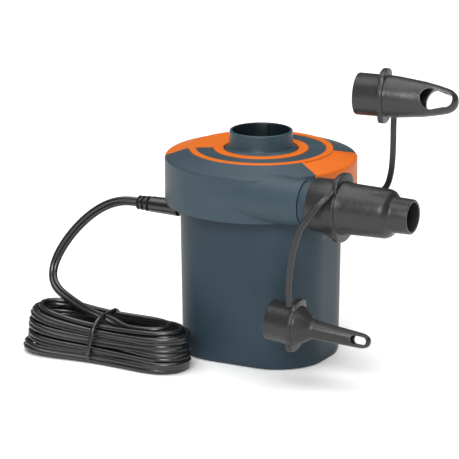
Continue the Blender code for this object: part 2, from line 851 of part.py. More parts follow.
def make_tethers(material):
    """The straps that keep the small adapters on the large one."""
    upper = band("upper_tether", UPPER_STRAP, 1.5, 0.8, (0, 1, 0), material)
    set_origin(upper, *UPPER_STRAP[0])
    lower = band("lower_tether", LOWER_STRAP, 1.6, 0.8, (0, 1, 0), material)
    set_origin(lower, *LOWER_STRAP[0])


# ---------------------------------------------------------------- motor

STACK_LOW, STACK_HIGH = 38.0, 62.0
STACK_MIDDLE = (STACK_LOW + STACK_HIGH) / 2
ARMATURE_RADIUS = 14.7
STATOR_BORE = 15.4
BRUSH_Z = 28.0


def make_shaft(material):
    profile = [(0, 12.5), (2.5, 12.5), (2.5, 90.0), (2.0, 90.3), (2.0, 103.5), (0, 103.5)]
    return turned("motor_shaft", profile, material, 20)


def make_armature(materials):
    """A slotted core with a winding bundle at each end."""
    teeth = 11
    outline = []
    for k in range(teeth):
        outline += [on_circle(9.0, 360 * (k + share) / teeth) for share in (0.36, 0.64)]
        outline += [on_circle(ARMATURE_RADIUS, 360 * (k + share) / teeth) for share in (0.72, 1.0, 1.28)]
    core = extruded("armature_core", outline, STACK_LOW, STACK_HIGH, materials["iron"])
    cut(core, rod("bore", 2.8, 30, 70, None, 20))
    for name, low, high, bulge in (
        ("winding_upper", STACK_HIGH + GAP, STACK_HIGH + 6, 1),
        ("winding_lower", STACK_LOW - 6, STACK_LOW - GAP, -1),
    ):
        near, far = (low, high) if bulge > 0 else (high, low)
        profile = [(3.4, near), (12.6, near), (13.2, near + 1.6 * bulge)]
        profile += [(12.0, far - 1.2 * bulge), (9.5, far), (4.4, far)]
        turned(name, profile, materials["copper"], 22)
    ring("commutator", 2.8, 8.0, 23.5, 31.6, materials["copper"], 24)


def make_cooling_fan(material):
    """A small fan on the shaft that draws cooling air past the motor."""
    profile = [(2.8, 79.4), (21.0, 79.4), (21.0, 80.6), (5.5, 80.6), (5.5, 84.6), (2.8, 84.6)]
    fan = turned("cooling_fan", profile, material, 24)
    for k in range(8):
        blade = block(f"vane_{k}", (5.0, -0.6, 80.2), (20.0, 0.6, 84.4))
        join(fan, turn(blade, 45 * k))
    return fan


def make_stator(materials):
    """A laminated field frame with a coil round each pole."""
    outline = rounded_rectangle(26.5, 22.0, 4.0, 3)
    stack = extruded("stator_core", outline, STACK_LOW, STACK_HIGH, materials["iron"])
    cut(stack, rod("bore", STATOR_BORE, 30, 70, None, 40))
    for side in (1, -1):
        for face in (1, -1):
            near, far = sorted((side * 18.6, side * 22.4))
            low, high = sorted((face * 7.8, face * 14.6))
            cut(stack, block("pocket", (near, low, 30), (far, high, 70)))
    for name, side in (("field_coil_1", 1), ("field_coil_2", -1)):
        near, far = sorted((side * 18.9, side * 22.1))
        coil = block(name, (near, -14.3, STACK_LOW - 5.6), (far, 14.3, STACK_HIGH + 5.6), materials["copper"])
        cut(coil, block("pole", (near - 3, -8.1, STACK_LOW - GAP), (far + 3, 8.1, STACK_HIGH + GAP)))


def make_bearings_and_brackets(materials):
    """Ball bearings, drawn as plain rings, in moulded brackets above and below the field frame."""
    for name, low in (("lower_bearing", 15.0), ("upper_bearing", 71.5)):
        ring(name, 2.8, 8.0, low, low + 5, materials["steel"], 24)
    upper = extruded("upper_bracket", rounded_rectangle(26.5, 12.0, 4.0, 3), 70.0, 77.6, materials["fan"])
    cut(upper, turned("seat", [(0, 60), (5.0, 60), (5.0, 71.2), (8.3, 71.2), (8.3, 90), (0, 90)], None, 32))
    for side in (1, -1):
        near, far = sorted((side * 23.0, side * 26.5))
        join(upper, block("leg", (near, -11.0, STACK_HIGH + GAP), (far, 11.0, 70.5)))
    lower = extruded("lower_bracket", rounded_rectangle(26.5, 12.0, 4.0, 3), 13.6, 20.8, materials["fan"])
    cut(lower, turned("seat", [(0, 5), (5.0, 5), (5.0, 14.7), (8.3, 14.7), (8.3, 30), (0, 30)], None, 32))
    for side in (1, -1):
        near, far = sorted((side * 23.0, side * 26.5))
        join(lower, block("leg", (near, -11.0, 20.3), (far, 11.0, STACK_LOW - GAP)))


def make_brushes(materials):
    """Two carbon brushes pressed on the commutator by coil springs in brass holders."""
    for i, side in ((1, 1), (2, -1)):
        holder_low, holder_high = (9.6, -4.2, BRUSH_Z - 3.6), (22.6, 4.2, BRUSH_Z + 3.6)
        holder = block(f"brush_holder_{i}", holder_low, holder_high, materials["brass"])
        cut(holder, block("channel", (5, -2.9, BRUSH_Z - 2.3), (21.6, 2.9, BRUSH_Z + 2.3)))
        brush_low, brush_high = (8.3, -2.5, BRUSH_Z - 1.9), (15.5, 2.5, BRUSH_Z + 1.9)
        brush = block(f"brush_{i}", brush_low, brush_high, materials["carbon"])
        spring = make_spring(f"brush_spring_{i}", materials["steel"])
        if side < 0:
            for piece in (holder, brush, spring):
                turn(piece, 180)


def make_spring(name, material):
    """A compression spring along X, behind the brush."""
    turns, radius, wire, start, end = 4, 1.35, 0.28, 16.2, 21.0
    sections = []
    steps = 8 * turns
    for step in range(steps + 1):
        angle = 2 * pi * step / 8
        x = start + (end - start) * step / steps
        centre = Vector((x, radius * cos(angle), BRUSH_Z + radius * sin(angle)))
        outward = Vector((0, cos(angle), sin(angle)))
        across = Vector((1, 0, 0))
        sections.append(
            [centre + (outward * cos(pi * k / 2) + across * sin(pi * k / 2)) * wire for k in range(4)]
        )
    return lofted(name, sections, material)


# ---------------------------------------------------------------- cord


def make_strain_relief(material):
    """The moulded boot where the cord leaves the canister: a neck, a block and three grooves."""
    inside, outside = -36.2, -CANISTER_HALF_X - GAP
    profile = [(0, -32.0), (5.6, -32.0), (5.6, inside), (4.0, inside), (4.0, outside), (5.3, outside)]
    for x in (-60.0, -63.3, -66.0):
        outer = 5.3 + 0.07 * (x + 54)
        profile += [(outer, x), (3.5, x - 0.1), (3.5, x - 1.0), (outer - 0.1, x - 1.1)]
    profile += [(4.3, GLAND_END_X + 0.4), (3.6, GLAND_END_X), (0, GLAND_END_X)]
    boot = lay_along_x(turned("strain_relief", profile, material, 14))
    boot.data.transform(Matrix.Scale(0.88, 4, Vector((0, 0, 1))))
    return move(boot, 0, GLAND_Y, GLAND_Z)


def make_cord_clamp(material):
    """The bar inside the canister that grips the cord behind the strain relief."""
    low, high = (-31.6, GLAND_Y - 4, GLAND_Z - 2.5), (-27.0, GLAND_Y + 4, GLAND_Z + 2.5)
    return block("cord_clamp", low, high, material)


LEAD_ROUTE = (
    (GLAND_END_X - GAP, GLAND_Y, GLAND_Z),
    (-75.2, -14.4, 78.0),
    (-82.9, -15.5, 76.2),
    (-90.5, -17.0, 72.4),
    (-98.0, -19.0, 66.4),
    (-105.0, -21.5, 58.6),
    (-110.8, -24.0, 49.8),
    (-114.2, -27.0, 41.4),
    (-114.6, -30.0, 34.2),
    (-111.0, -33.5, 29.6),
    (-104.5, -37.4, 27.2),
    (-97.0, -41.2, 25.6),
    (-90.0, -44.8, 24.4),
    (-84.0, -48.0, HANK_HEIGHT + GAP + CORD_THICK / 2),
)
TAIL_ROUTE = (
    (-42.4, -34.4, 2.7),
    (-45.6, -28.2, 2.6),
    (-46.8, -20.5, 2.6),
    (-46.9, -10.5, 2.6),
    (-46.6, 0.0, 2.6),
    (-46.4, 10.5, 3.0),
    (-46.6, 21.0, 5.0),
    (PLUG_CENTRE[0], PLUG_CENTRE[1] - 18.0 - 3 * GAP, 7.2),
)


def make_cord(materials):
    """The cord: a lead down to the hank, the hank and its tie, and a tail behind the canister to the plug."""
    tube("cord_lead", LEAD_ROUTE, CORD_THICK, materials["cord"])
    tube("cord_tail", TAIL_ROUTE, CORD_THICK, materials["cord"])
    outline = rounded_rectangle(HANK_HALF_LENGTH, HANK_HALF_DEPTH, HANK_HALF_DEPTH - 0.1, 8)
    hank = extruded("cord_hank", outline, 0.0, HANK_HEIGHT, materials["cord"])
    move(hank, *HANK_CENTRE)
    tie_low, tie_high = (TIE_X - 1.1, -72.3, 0.6), (TIE_X + 1.1, -33.7, HANK_HEIGHT + 1.7)
    tie = block("cord_tie", tie_low, tie_high, materials["cord"])
    cut(tie, block("inside", (TIE_X - 4, -70.3, -4), (TIE_X + 4, -35.7, HANK_HEIGHT + GAP)))


def make_plug(materials):
    """A moulded flat plug with two round pins, lying on its side behind the canister."""
    x, y = PLUG_CENTRE
    half_width, half_length, height = 13.0, 18.0, 13.6
    outline = rounded_rectangle(half_width, half_length, 6.0, 4)
    body = extruded("plug_body", outline, 0.4, 0.4 + height, materials["cord"])
    move(body, x, y)
    for i, side in ((1, 1), (2, -1)):
        pin = turn(rod(f"plug_pin_{i}", 2.0, 0, 18.5, materials["brass"], 12), -90, "X")
        move(pin, x + side * 9.3, y + half_length + GAP, 0.4 + height / 2)


# ---------------------------------------------------------------- object


def build_pump():
    clear_scene()
    materials = make_materials()
    make_upper_housing(materials["head"])
    make_trim(materials["orange"])
    make_label_ring(materials["head"])
    make_port_collar(materials["collar"])
    make_intake_grille(materials["collar"])
    make_lower_housing(materials["canister"])
    make_head_deck(materials["canister"])
    make_base_cover(materials["canister"])
    make_screws(materials["steel"])
    make_switch(materials)
    make_volute(materials["fan"])
    make_volute_cover(materials["fan"])
    make_impeller(materials["fan"])
    make_impeller_nut(materials["steel"])
    make_outlet_spigot(materials["canister"])
    make_nozzle_adapter(materials["rubber"])
    make_upper_valve_adapter(materials["rubber"])
    make_lower_valve_adapter(materials["rubber"])
    make_tethers(materials["rubber"])
    make_shaft(materials["steel"])
    make_armature(materials)
    make_cooling_fan(materials["fan"])
    make_stator(materials)
    make_bearings_and_brackets(materials)
    make_brushes(materials)
    make_strain_relief(materials["cord"])
    make_cord_clamp(materials["board"])
    make_cord(materials)
    make_plug(materials)


build_pump()
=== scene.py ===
"""Looks of the electric air mattress pump: materials, fine surfaces, the flat cord and its hank, light and camera.

Sizes are millimetres, as in the part's own source, and make_mesh turns them into metres.
"""

import json
from math import cos, degrees, pi, radians, sin, sqrt

import bmesh
import bpy
from mathutils import Matrix, Vector


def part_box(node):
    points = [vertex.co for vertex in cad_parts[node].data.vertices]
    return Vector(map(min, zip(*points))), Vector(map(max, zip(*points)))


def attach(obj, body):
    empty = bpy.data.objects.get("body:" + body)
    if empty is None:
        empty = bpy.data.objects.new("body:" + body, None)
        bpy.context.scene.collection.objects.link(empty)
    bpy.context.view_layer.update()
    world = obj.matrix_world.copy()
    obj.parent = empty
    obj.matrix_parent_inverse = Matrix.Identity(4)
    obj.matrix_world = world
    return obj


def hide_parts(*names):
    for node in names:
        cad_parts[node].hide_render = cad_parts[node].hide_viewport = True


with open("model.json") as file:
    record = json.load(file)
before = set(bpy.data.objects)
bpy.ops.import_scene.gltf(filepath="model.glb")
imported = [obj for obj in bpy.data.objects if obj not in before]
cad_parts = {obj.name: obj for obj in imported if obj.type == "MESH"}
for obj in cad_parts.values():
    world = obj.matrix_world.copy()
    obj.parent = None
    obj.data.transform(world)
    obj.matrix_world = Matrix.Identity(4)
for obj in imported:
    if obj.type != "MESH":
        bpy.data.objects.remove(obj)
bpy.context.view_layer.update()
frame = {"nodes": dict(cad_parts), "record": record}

MM = 0.001
GAP = 0.3

HEAD_RADIUS = 52.0
HEAD_WALL = 2.4
SKIRT_Z = 84.6
CREASE_Z = 109.5
TOP_Z = 113.3
RECESS_Z = 111.6
RECESS_RADIUS = 39.3
CEILING_Z = 109.4
PORT_RADIUS = 15.4
COLLAR_RADIUS = 17.2
COLLAR_TOP_Z = 123.4
# Wings of the trim: start angle, end angle, slant of the end's edge to the radius, and lowest height
WINGS = ((-29.0, 31.0, 29.0, 95.0), (137.0, 208.0, 0.0, CREASE_Z - 3.5))
EDGE_RIB_SWEEP = 1.6
RAISED_WING_START = 151.4
WING_DEPTH = 1.4
WING_RECESS = 0.35

CANISTER_HALF_X = 42.0
CANISTER_HALF_Y = 35.5
CANISTER_CORNER = 28.0
CANISTER_WALL = 2.0
BASE_SHRINK = 0.97
DECK_Z = 86.2
DECK_TOP_Z = 88.4

OUTLET_Y = -38.8
OUTLET_Z = 97.4
DUCT_RADIUS = 12.5
DUCT_ROOT_RADIUS = 13.6
DUCT_BORE = 10.8
DUCT_END_X = 46.8
SPIGOT_RADIUS = 10.6
SPIGOT_END_X = 73.0
ADAPTER_START_X = 52.3
ADAPTER_FLANGE_X = 68.0
ADAPTER_TIP_X = 108.2

HEAD_SCREW_ANGLES = (62, 118, 242)
HEAD_SCREW_RADIUS = 44.0
SWITCH_Z = 66.0
SWITCH_WIDTH = 20.0
SWITCH_HEIGHT = 14.0

GLAND_Y = -14.0
GLAND_Z = 77.6
GLAND_END_X = -68.0
HANK_CENTRE = (-66.5, -53.0)
HANK_HALF_LENGTH = 54.5
HANK_HEIGHT = 21.2
TIE_X = -69.0
PLUG_CENTRE = (-47.0, 50.0)
FLEX_WIDTH = 5.2
FLEX_THICK = 3.0


# ---------------------------------------------------------------- camera and light


def make_camera():
    """A long lens in front of the outlet's side, a little above the pump."""
    azimuth, elevation, distance = radians(27.84), radians(15.42), 1.786
    back = Vector((sin(azimuth) * cos(elevation), -cos(azimuth) * cos(elevation), sin(elevation)))
    right = Vector((cos(azimuth), sin(azimuth), 0))
    up = back.cross(right)
    data = bpy.data.cameras.new("camera")
    data.sensor_width = 36
    data.lens = 255.3
    data.clip_start = 0.05
    data.clip_end = 30
    camera = bpy.data.objects.new("camera", data)
    camera.location = right * -0.01706 + up * 0.065 + back * distance
    camera.rotation_mode = "QUATERNION"
    camera.rotation_quaternion = (-back).to_track_quat("-Z", "Y")
    bpy.context.scene.collection.objects.link(camera)
    bpy.context.scene.camera = camera


def make_area_light(name, place, target, size, power):
    data = bpy.data.lights.new(name, "AREA")
    data.shape = "RECTANGLE"
    data.size, data.size_y = size
    data.energy = power
    light = bpy.data.objects.new(name, data)
    light.location = place
    light.rotation_mode = "QUATERNION"
    light.rotation_quaternion = (Vector(target) - Vector(place)).to_track_quat("-Z", "Y")
    bpy.context.scene.collection.objects.link(light)


def make_studio():
    """A pale room: a faint even world, a white floor, a broad soft light overhead and a soft box in front."""
    scene = bpy.context.scene
    scene.view_settings.view_transform = "Standard"
    world = bpy.data.worlds.new("studio")
    world.use_nodes = True
    background = world.node_tree.nodes["Background"]
    background.inputs["Color"].default_value = (1, 1, 1, 1)
    background.inputs["Strength"].default_value = 0.12
    scene.world = world
    make_area_light("key", (0.45, -1.5, 0.95), (0, 0, 0.07), (0.9, 0.5), 23)
    overhead = bpy.data.lights.new("overhead", "SUN")
    overhead.angle = radians(75)
    overhead.energy = 3.6
    scene.collection.objects.link(bpy.data.objects.new("overhead", overhead))
    reach, z = 9000, -0.2
    corners = [(-reach, -reach, z), (reach, -reach, z), (reach, reach, z), (-reach, reach, z)]
    floor = make_mesh("floor", corners, [(0, 1, 2, 3)])
    white = new_material("floor_white", (0.93, 0.93, 0.93), 0.9)
    floor.data.materials.append(white)


# ---------------------------------------------------------------- mesh helpers


def shade(mesh, angle=30):
    mesh.shade_smooth()
    mesh.set_sharp_from_angle(angle=radians(angle))


def make_mesh(name, points, faces, angle=30):
    """An object from points in millimetres, with its normals pointing out."""
    mesh = bpy.data.meshes.new(name)
    mesh.from_pydata([Vector(point) * MM for point in points], [], faces)
    shape = bmesh.new()
    shape.from_mesh(mesh)
    bmesh.ops.remove_doubles(shape, verts=shape.verts, dist=1e-7)
    bmesh.ops.recalc_face_normals(shape, faces=shape.faces)
    shape.to_mesh(mesh)
    shape.free()
    shade(mesh, angle)
    obj = bpy.data.objects.new(name, mesh)
    bpy.context.scene.collection.objects.link(obj)
    return obj


def apply_boolean(obj, tools, operation):
    """Cuts the tools from obj, or joins them to it, and removes them."""
    for tool in tools:
        modifier = obj.modifiers.new(operation, "BOOLEAN")
        modifier.operation = operation
        modifier.solver = "EXACT"
        modifier.object = tool
        bake_modifiers(obj)
        bpy.data.objects.remove(tool, do_unlink=True)
    shade(obj.data)
    return obj


def bake_modifiers(obj):
    bpy.context.view_layer.update()
    graph = bpy.context.evaluated_depsgraph_get()
    result = bpy.data.meshes.new_from_object(obj.evaluated_get(graph))
    obj.modifiers.clear()
    obj.data = result


def cut(obj, *tools):
    return apply_boolean(obj, tools, "DIFFERENCE")


def join(obj, *tools):
    return apply_boolean(obj, tools, "UNION")


def bevel(obj, width, segments=2, angle=40):
    """Rounds the sharp edges."""
    modifier = obj.modifiers.new("bevel", "BEVEL")
    modifier.width = width * MM
    modifier.segments = segments
    modifier.limit_method = "ANGLE"
    modifier.angle_limit = radians(angle)
    modifier.use_clamp_overlap = True
    bake_modifiers(obj)
    shade(obj.data, 40)
    return obj


def move(obj, x=0.0, y=0.0, z=0.0):
    obj.data.transform(Matrix.Translation(Vector((x, y, z)) * MM))
    return obj


def turn(obj, degrees_round, axis="Z"):
    obj.data.transform(Matrix.Rotation(radians(degrees_round), 4, axis))
    return obj


def lay_along_x(obj):
    """Turns a shape made round +Z so that it runs along +X, with its own +X then up along +Z."""
    obj.data.transform(Matrix(((0, 0, 1, 0), (0, -1, 0, 0), (1, 0, 0, 0), (0, 0, 0, 1))))
    return obj


def turned(name, profile, segments=96, start=0.0, sweep=360.0):
    """A closed profile of (radius, z) turned about Z, all the way round or through a part of the turn."""
    full = sweep >= 360.0
    steps = segments if full else segments + 1
    points = []
    for step in range(steps):
        angle = radians(start + sweep * step / segments)
        points += [(r * cos(angle), r * sin(angle), z) for r, z in profile]
    size = len(profile)
    faces = []
    for step in range(segments):
        here = step * size
        there = ((step + 1) % steps) * size
        for i in range(size):
            j = (i + 1) % size
            if profile[i][0] == 0 and profile[j][0] == 0:
                continue
            if profile[i][0] == 0:
                faces.append((here + i, here + j, there + j))
            elif profile[j][0] == 0:
                faces.append((here + i, here + j, there + i))
            else:
                faces.append((here + i, here + j, there + j, there + i))
    if not full:
        faces.append(tuple(range(size)))
        faces.append(tuple(range((steps - 1) * size, steps * size)))
    return make_mesh(name, points, faces)


def rod(name, radius, low, high, segments=48):
    return turned(name, [(0, low), (radius, low), (radius, high), (0, high)], segments)


def ring(name, inner, outer, low, high, segments=96):
    return turned(name, [(inner, low), (outer, low), (outer, high), (inner, high)], segments)


def block(name, low, high):
    corners = [(x, y, z) for x in (low[0], high[0]) for y in (low[1], high[1]) for z in (low[2], high[2])]
    faces = [(0, 1, 3, 2), (4, 6, 7, 5), (0, 4, 5, 1), (2, 3, 7, 6), (0, 2, 6, 4), (1, 5, 7, 3)]
    return make_mesh(name, corners, faces)


def extruded(name, outline, low, high):
    return lofted(name, [[(x, y, low) for x, y in outline], [(x, y, high) for x, y in outline]])


def lofted(name, sections, angle=30):
    """A skin over closed sections with equal numbers of points, capped at both ends."""
    count = len(sections[0])
    points = [point for section in sections for point in section]
    faces = []
    for k in range(len(sections) - 1):
        for i in range(count):
            j = (i + 1) % count
            faces.append((k * count + i, k * count + j, (k + 1) * count + j, (k + 1) * count + i))
    faces.append(tuple(range(count)))
    faces.append(tuple(range((len(sections) - 1) * count, len(sections) * count)))
    return make_mesh(name, points, faces, angle)


def rounded_rectangle(half_x, half_y, corner, steps=12):
    outline = []
    for quarter in range(4):
        sign_x = 1 if quarter in (0, 3) else -1
        sign_y = 1 if quarter in (0, 1) else -1
        for step in range(steps + 1):
            angle = radians(90 * quarter + 90 * step / steps)
            outline.append(
                (sign_x * (half_x - corner) + corner * cos(angle), sign_y * (half_y - corner) + corner * sin(angle))
            )
    return outline


def on_circle(radius, angle):
    return radius * cos(radians(angle)), radius * sin(radians(angle))


def smooth_points(route, spacing):
    """Evenly spaced points along a smooth curve through every point of the route."""
    route = [Vector(point) for point in route]
    ends = [2 * route[0] - route[1], *route, 2 * route[-1] - route[-2]]
    dense = []
    for a, b, c, d in zip(ends, ends[1:], ends[2:], ends[3:]):
        for step in range(16):
            t = step / 16
            dense.append(
                0.5 * (2 * b + (c - a) * t + (2 * a - 5 * b + 4 * c - d) * t**2 + (3 * b - a - 3 * c + d) * t**3)
            )
    dense.append(route[-1])
    total = sum((q - p).length for p, q in zip(dense, dense[1:]))
    count = max(2, round(total / spacing))
    points = [dense[0]]
    travelled = 0.0
    for p, q in zip(dense, dense[1:]):
        travelled += (q - p).length
        if travelled >= total * len(points) / count and len(points) < count:
            points.append(q)
    points.append(dense[-1])
    return points


def swept(name, points, outline, facings, angle=30):
    """An outline of (across, out) carried along points, with its out side turned to each point's facing direction."""
    sections = []
    for i, point in enumerate(points):
        along = (points[min(i + 1, len(points) - 1)] - points[max(i - 1, 0)]).normalized()
        across = along.cross(facings[i]).normalized()
        out = across.cross(along)
        sections.append([point + across * u + out * v for u, v in outline])
    return lofted(name, sections, angle)


# ---------------------------------------------------------------- materials


def new_material(name, colour, roughness, metallic=0.0, specular=0.22):
    material = bpy.data.materials.new(name)
    material.use_nodes = True
    shader = material.node_tree.nodes["Principled BSDF"]
    shader.inputs["Base Color"].default_value = (*colour, 1.0)
    shader.inputs["Roughness"].default_value = roughness
    shader.inputs["Metallic"].default_value = metallic
    shader.inputs["Specular IOR Level"].default_value = specular
    return material


def paint_edge_highlight(material, colour):
    """The colour with a painted highlight: a little lighter along the edges, where a rounded normal leaves the
    surface's own.
    """
    nodes, links = material.node_tree.nodes, material.node_tree.links
    rounded = nodes.new("ShaderNodeBevel")
    rounded.samples = 4
    rounded.inputs["Radius"].default_value = 0.5 * MM
    geometry = nodes.new("ShaderNodeNewGeometry")
    agreement = nodes.new("ShaderNodeVectorMath")
    agreement.operation = "DOT_PRODUCT"
    links.new(rounded.outputs["Normal"], agreement.inputs[0])
    links.new(geometry.outputs["Normal"], agreement.inputs[1])
    # Painted highlight: up to half again lighter on edges, outer and inner alike.
    edge_gain = nodes.new("ShaderNodeMapRange")
    edge_gain.inputs["From Min"].default_value = 0.75
    edge_gain.inputs["From Max"].default_value = 0.97
    edge_gain.inputs["To Min"].default_value = 1.5
    edge_gain.inputs["To Max"].default_value = 1.0
    links.new(agreement.outputs["Value"], edge_gain.inputs["Value"])
    lightened = nodes.new("ShaderNodeVectorMath")
    lightened.operation = "SCALE"
    links.new(colour, lightened.inputs[0])
    links.new(edge_gain.outputs["Result"], lightened.inputs["Scale"])
    return lightened.outputs["Vector"]


def add_grain(material, colour, scale, depth, shade_range=0.08, roughness=0.5, roughness_range=0.1, stretch=(1, 1, 1)):
    """Fine moulded grain: bump, and small changes of colour and roughness, in the object's own space."""
    nodes, links = material.node_tree.nodes, material.node_tree.links
    shader = nodes["Principled BSDF"]
    place = nodes.new("ShaderNodeTexCoord")
    mapping = nodes.new("ShaderNodeMapping")
    mapping.inputs["Scale"].default_value = stretch
    links.new(place.outputs["Object"], mapping.inputs["Vector"])
    fine = nodes.new("ShaderNodeTexNoise")
    fine.inputs["Scale"].default_value = scale
    fine.inputs["Detail"].default_value = 4.0
    fine.inputs["Roughness"].default_value = 0.6
    links.new(mapping.outputs["Vector"], fine.inputs["Vector"])
    broad = nodes.new("ShaderNodeTexNoise")
    broad.inputs["Scale"].default_value = 45.0
    broad.inputs["Detail"].default_value = 3.0
    links.new(mapping.outputs["Vector"], broad.inputs["Vector"])
    bump = nodes.new("ShaderNodeBump")
    bump.inputs["Strength"].default_value = 0.5
    bump.inputs["Distance"].default_value = depth * MM
    links.new(fine.outputs["Fac"], bump.inputs["Height"])
    links.new(bump.outputs["Normal"], shader.inputs["Normal"])
    ramp = nodes.new("ShaderNodeValToRGB")
    ramp.color_ramp.elements[0].position = 0.3
    ramp.color_ramp.elements[1].position = 0.7
    ramp.color_ramp.elements[0].color = (*[c * (1 - shade_range) for c in colour], 1)
    ramp.color_ramp.elements[1].color = (*[c * (1 + shade_range) for c in colour], 1)
    links.new(broad.outputs["Fac"], ramp.inputs["Fac"])
    # Every grained material gets the painted edge highlight on top of its grain.
    links.new(paint_edge_highlight(material, ramp.outputs["Color"]), shader.inputs["Base Color"])
    spread = nodes.new("ShaderNodeMapRange")
    spread.inputs["To Min"].default_value = roughness - roughness_range
    spread.inputs["To Max"].default_value = roughness + roughness_range
    links.new(fine.outputs["Fac"], spread.inputs["Value"])
    links.new(spread.outputs["Result"], shader.inputs["Roughness"])
    return material


def plastic(name, colour, roughness=0.5, scale=1600.0, depth=0.06, specular=0.22, **more):
    material = new_material(name, colour, roughness, 0.0, specular)
    return add_grain(material, colour, scale, depth, roughness=roughness, **more)


def paint_bore_shade(material, radius):
    """Paints shade inside a port: dulls everything nearer the axis than this radius, as painted shade."""
    nodes, links = material.node_tree.nodes, material.node_tree.links
    base = nodes["Principled BSDF"].inputs["Base Color"]
    colour = base.links[0].from_socket
    place = nodes.new("ShaderNodeTexCoord")
    flat = nodes.new("ShaderNodeVectorMath")
    flat.operation = "MULTIPLY"
    flat.inputs[1].default_value = (1, 1, 0)
    links.new(place.outputs["Object"], flat.inputs[0])
    length = nodes.new("ShaderNodeVectorMath")
    length.operation = "LENGTH"
    links.new(flat.outputs["Vector"], length.inputs[0])
    share = nodes.new("ShaderNodeMapRange")
    share.inputs["From Min"].default_value = radius * MM
    share.inputs["From Max"].default_value = (radius + 0.5) * MM
    # Painted shade: the colour falls to a fifth inside the bore.
    share.inputs["To Min"].default_value = 0.2
    links.new(length.outputs["Value"], share.inputs["Value"])
    scaled = nodes.new("ShaderNodeVectorMath")
    scaled.operation = "SCALE"
    links.new(colour, scaled.inputs[0])
    links.new(share.outputs["Result"], scaled.inputs["Scale"])
    links.new(scaled.outputs["Vector"], base)
    return material


def metal(name, colour, roughness=0.35, stretch=(1, 1, 1)):
    material = new_material(name, colour, roughness, 1.0, 0.5)
    return add_grain(material, colour, 700.0, 0.02, 0.06, roughness, 0.08, stretch)


def make_materials():
    return {
        "head_shell": plastic("head_shell", (0.033, 0.054, 0.068), 0.45),
        "canister_shell": plastic("canister_shell", (0.024, 0.042, 0.057), 0.46),
        # The collar's bore, and the grille that shares this material, get painted shade nearer the axis than 15.6 mm.
        "collar_plastic": paint_bore_shade(plastic("collar_plastic", (0.03, 0.054, 0.069), 0.36), 15.6),
        "orange_trim": plastic("orange_trim", (0.57, 0.118, 0.006), 0.45, shade_range=0.04),
        "adapter_rubber": plastic(
            "adapter_rubber", (0.020, 0.020, 0.0205), 0.36, 420.0, 0.35, 0.38, roughness_range=0.16
        ),
        "cord_sheath": plastic("cord_sheath", (0.006, 0.006, 0.006), 0.3, 300.0, 0.004, 0.7, roughness_range=0.04),
        "fan_plastic": plastic("fan_plastic", (0.5, 0.5, 0.48), 0.45),
        "steel": metal("steel", (0.56, 0.56, 0.57), 0.3),
        "lamination_iron": metal("lamination_iron", (0.3, 0.3, 0.31), 0.45, (1, 1, 14)),
        "copper": metal("copper", (0.72, 0.3, 0.15), 0.3, (1, 1, 10)),
        "carbon": plastic("carbon", (0.03, 0.03, 0.03), 0.65, 2200.0),
        "brass": metal("brass", (0.72, 0.52, 0.22), 0.28),
        "board": plastic("board", (0.2, 0.12, 0.06), 0.7, 900.0),
    }


def dress(obj, slot, body, *nodes):
    """Gives a piece its material and slot, puts it on its body and hides the CAD nodes it stands for."""
    obj.data.materials.clear()
    obj.data.materials.append(materials[slot])
    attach(obj, body)
    if nodes:
        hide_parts(*nodes)
    return obj


def dress_cad_nodes():
    """Every carried-over CAD node gets its slot's material."""
    for entry in frame["record"]["subparts"]:
        node = frame["nodes"][entry["node"]]
        node.data.materials.clear()
        node.data.materials.append(materials[entry["material_slot"]])


# ---------------------------------------------------------------- cord

LEAD_ROUTE = (
    (GLAND_END_X - GAP, GLAND_Y, GLAND_Z),
    (-75.2, -14.4, 78.0),
    (-82.9, -15.5, 76.2),
    (-90.5, -17.0, 72.4),
    (-98.0, -19.0, 66.4),
    (-105.0, -21.5, 58.6),
    (-110.8, -24.0, 49.8),
    (-114.2, -27.0, 41.4),
    (-114.6, -30.0, 34.2),
    (-111.0, -33.5, 29.6),
    (-104.5, -37.4, 27.2),
    (-97.0, -41.2, 25.6),
    (-90.0, -44.8, 24.4),
    (-84.0, -48.0, 23.7),
    (-78.0, -50.6, 23.2),
    (-70.0, -53.2, 22.4),
    (-60.0, -55.0, 21.0),
)
TAIL_ROUTE = (
    (-37.0, -38.4, 2.7),
    (-42.4, -34.4, 2.7),
    (-45.6, -28.2, 2.6),
    (-46.8, -20.5, 2.6),
    (-46.9, -10.5, 2.6),
    (-46.6, 0.0, 2.6),
    (-46.4, 10.5, 3.0),
    (-46.6, 21.0, 5.0),
    (PLUG_CENTRE[0], PLUG_CENTRE[1] - 18.0 - 3 * GAP, 7.2),
)
LANE_PITCH = 3.1
# One row for each turn, from the top one down: at the middle of the front, at the right end, at the middle of the
# back and at the left end, the height and the lane in from the outside. Then how far each end falls short.
TURNS = (
    ((18.9, 1.9), (20.6, 2.0), (20.6, 1.7), (23.4, 1.8), 13.0, 8.0),
    ((18.0, 0.9), (19.8, 1.5), (18.2, 0.6), (21.4, 0.9), 5.0, 4.0),
    ((15.4, 0.1), (17.6, 0.6), (15.8, 0.1), (17.4, 1.5), 1.5, 7.5),
    ((13.0, 1.2), (15.6, 0.0), (12.2, 1.1), (15.6, 0.2), 4.0, 3.5),
    ((11.4, 0.0), (13.0, 1.4), (10.6, 0.0), (11.6, 1.3), 2.0, 6.5),
    ((8.6, 1.2), (8.8, 0.0), (7.1, 1.1), (9.6, 0.0), 1.0, 4.0),
    ((6.4, 0.0), (5.4, 1.3), (5.6, 0.1), (7.0, 1.5), 4.0, 8.0),
    ((3.6, 1.1), (4.6, 0.0), (2.8, 1.0), (4.4, 0.4), 0.0, 3.0),
    ((2.7, 0.0), (2.7, 0.8), (2.7, 0.0), (2.7, 0.4), 2.0, 0.0),
)


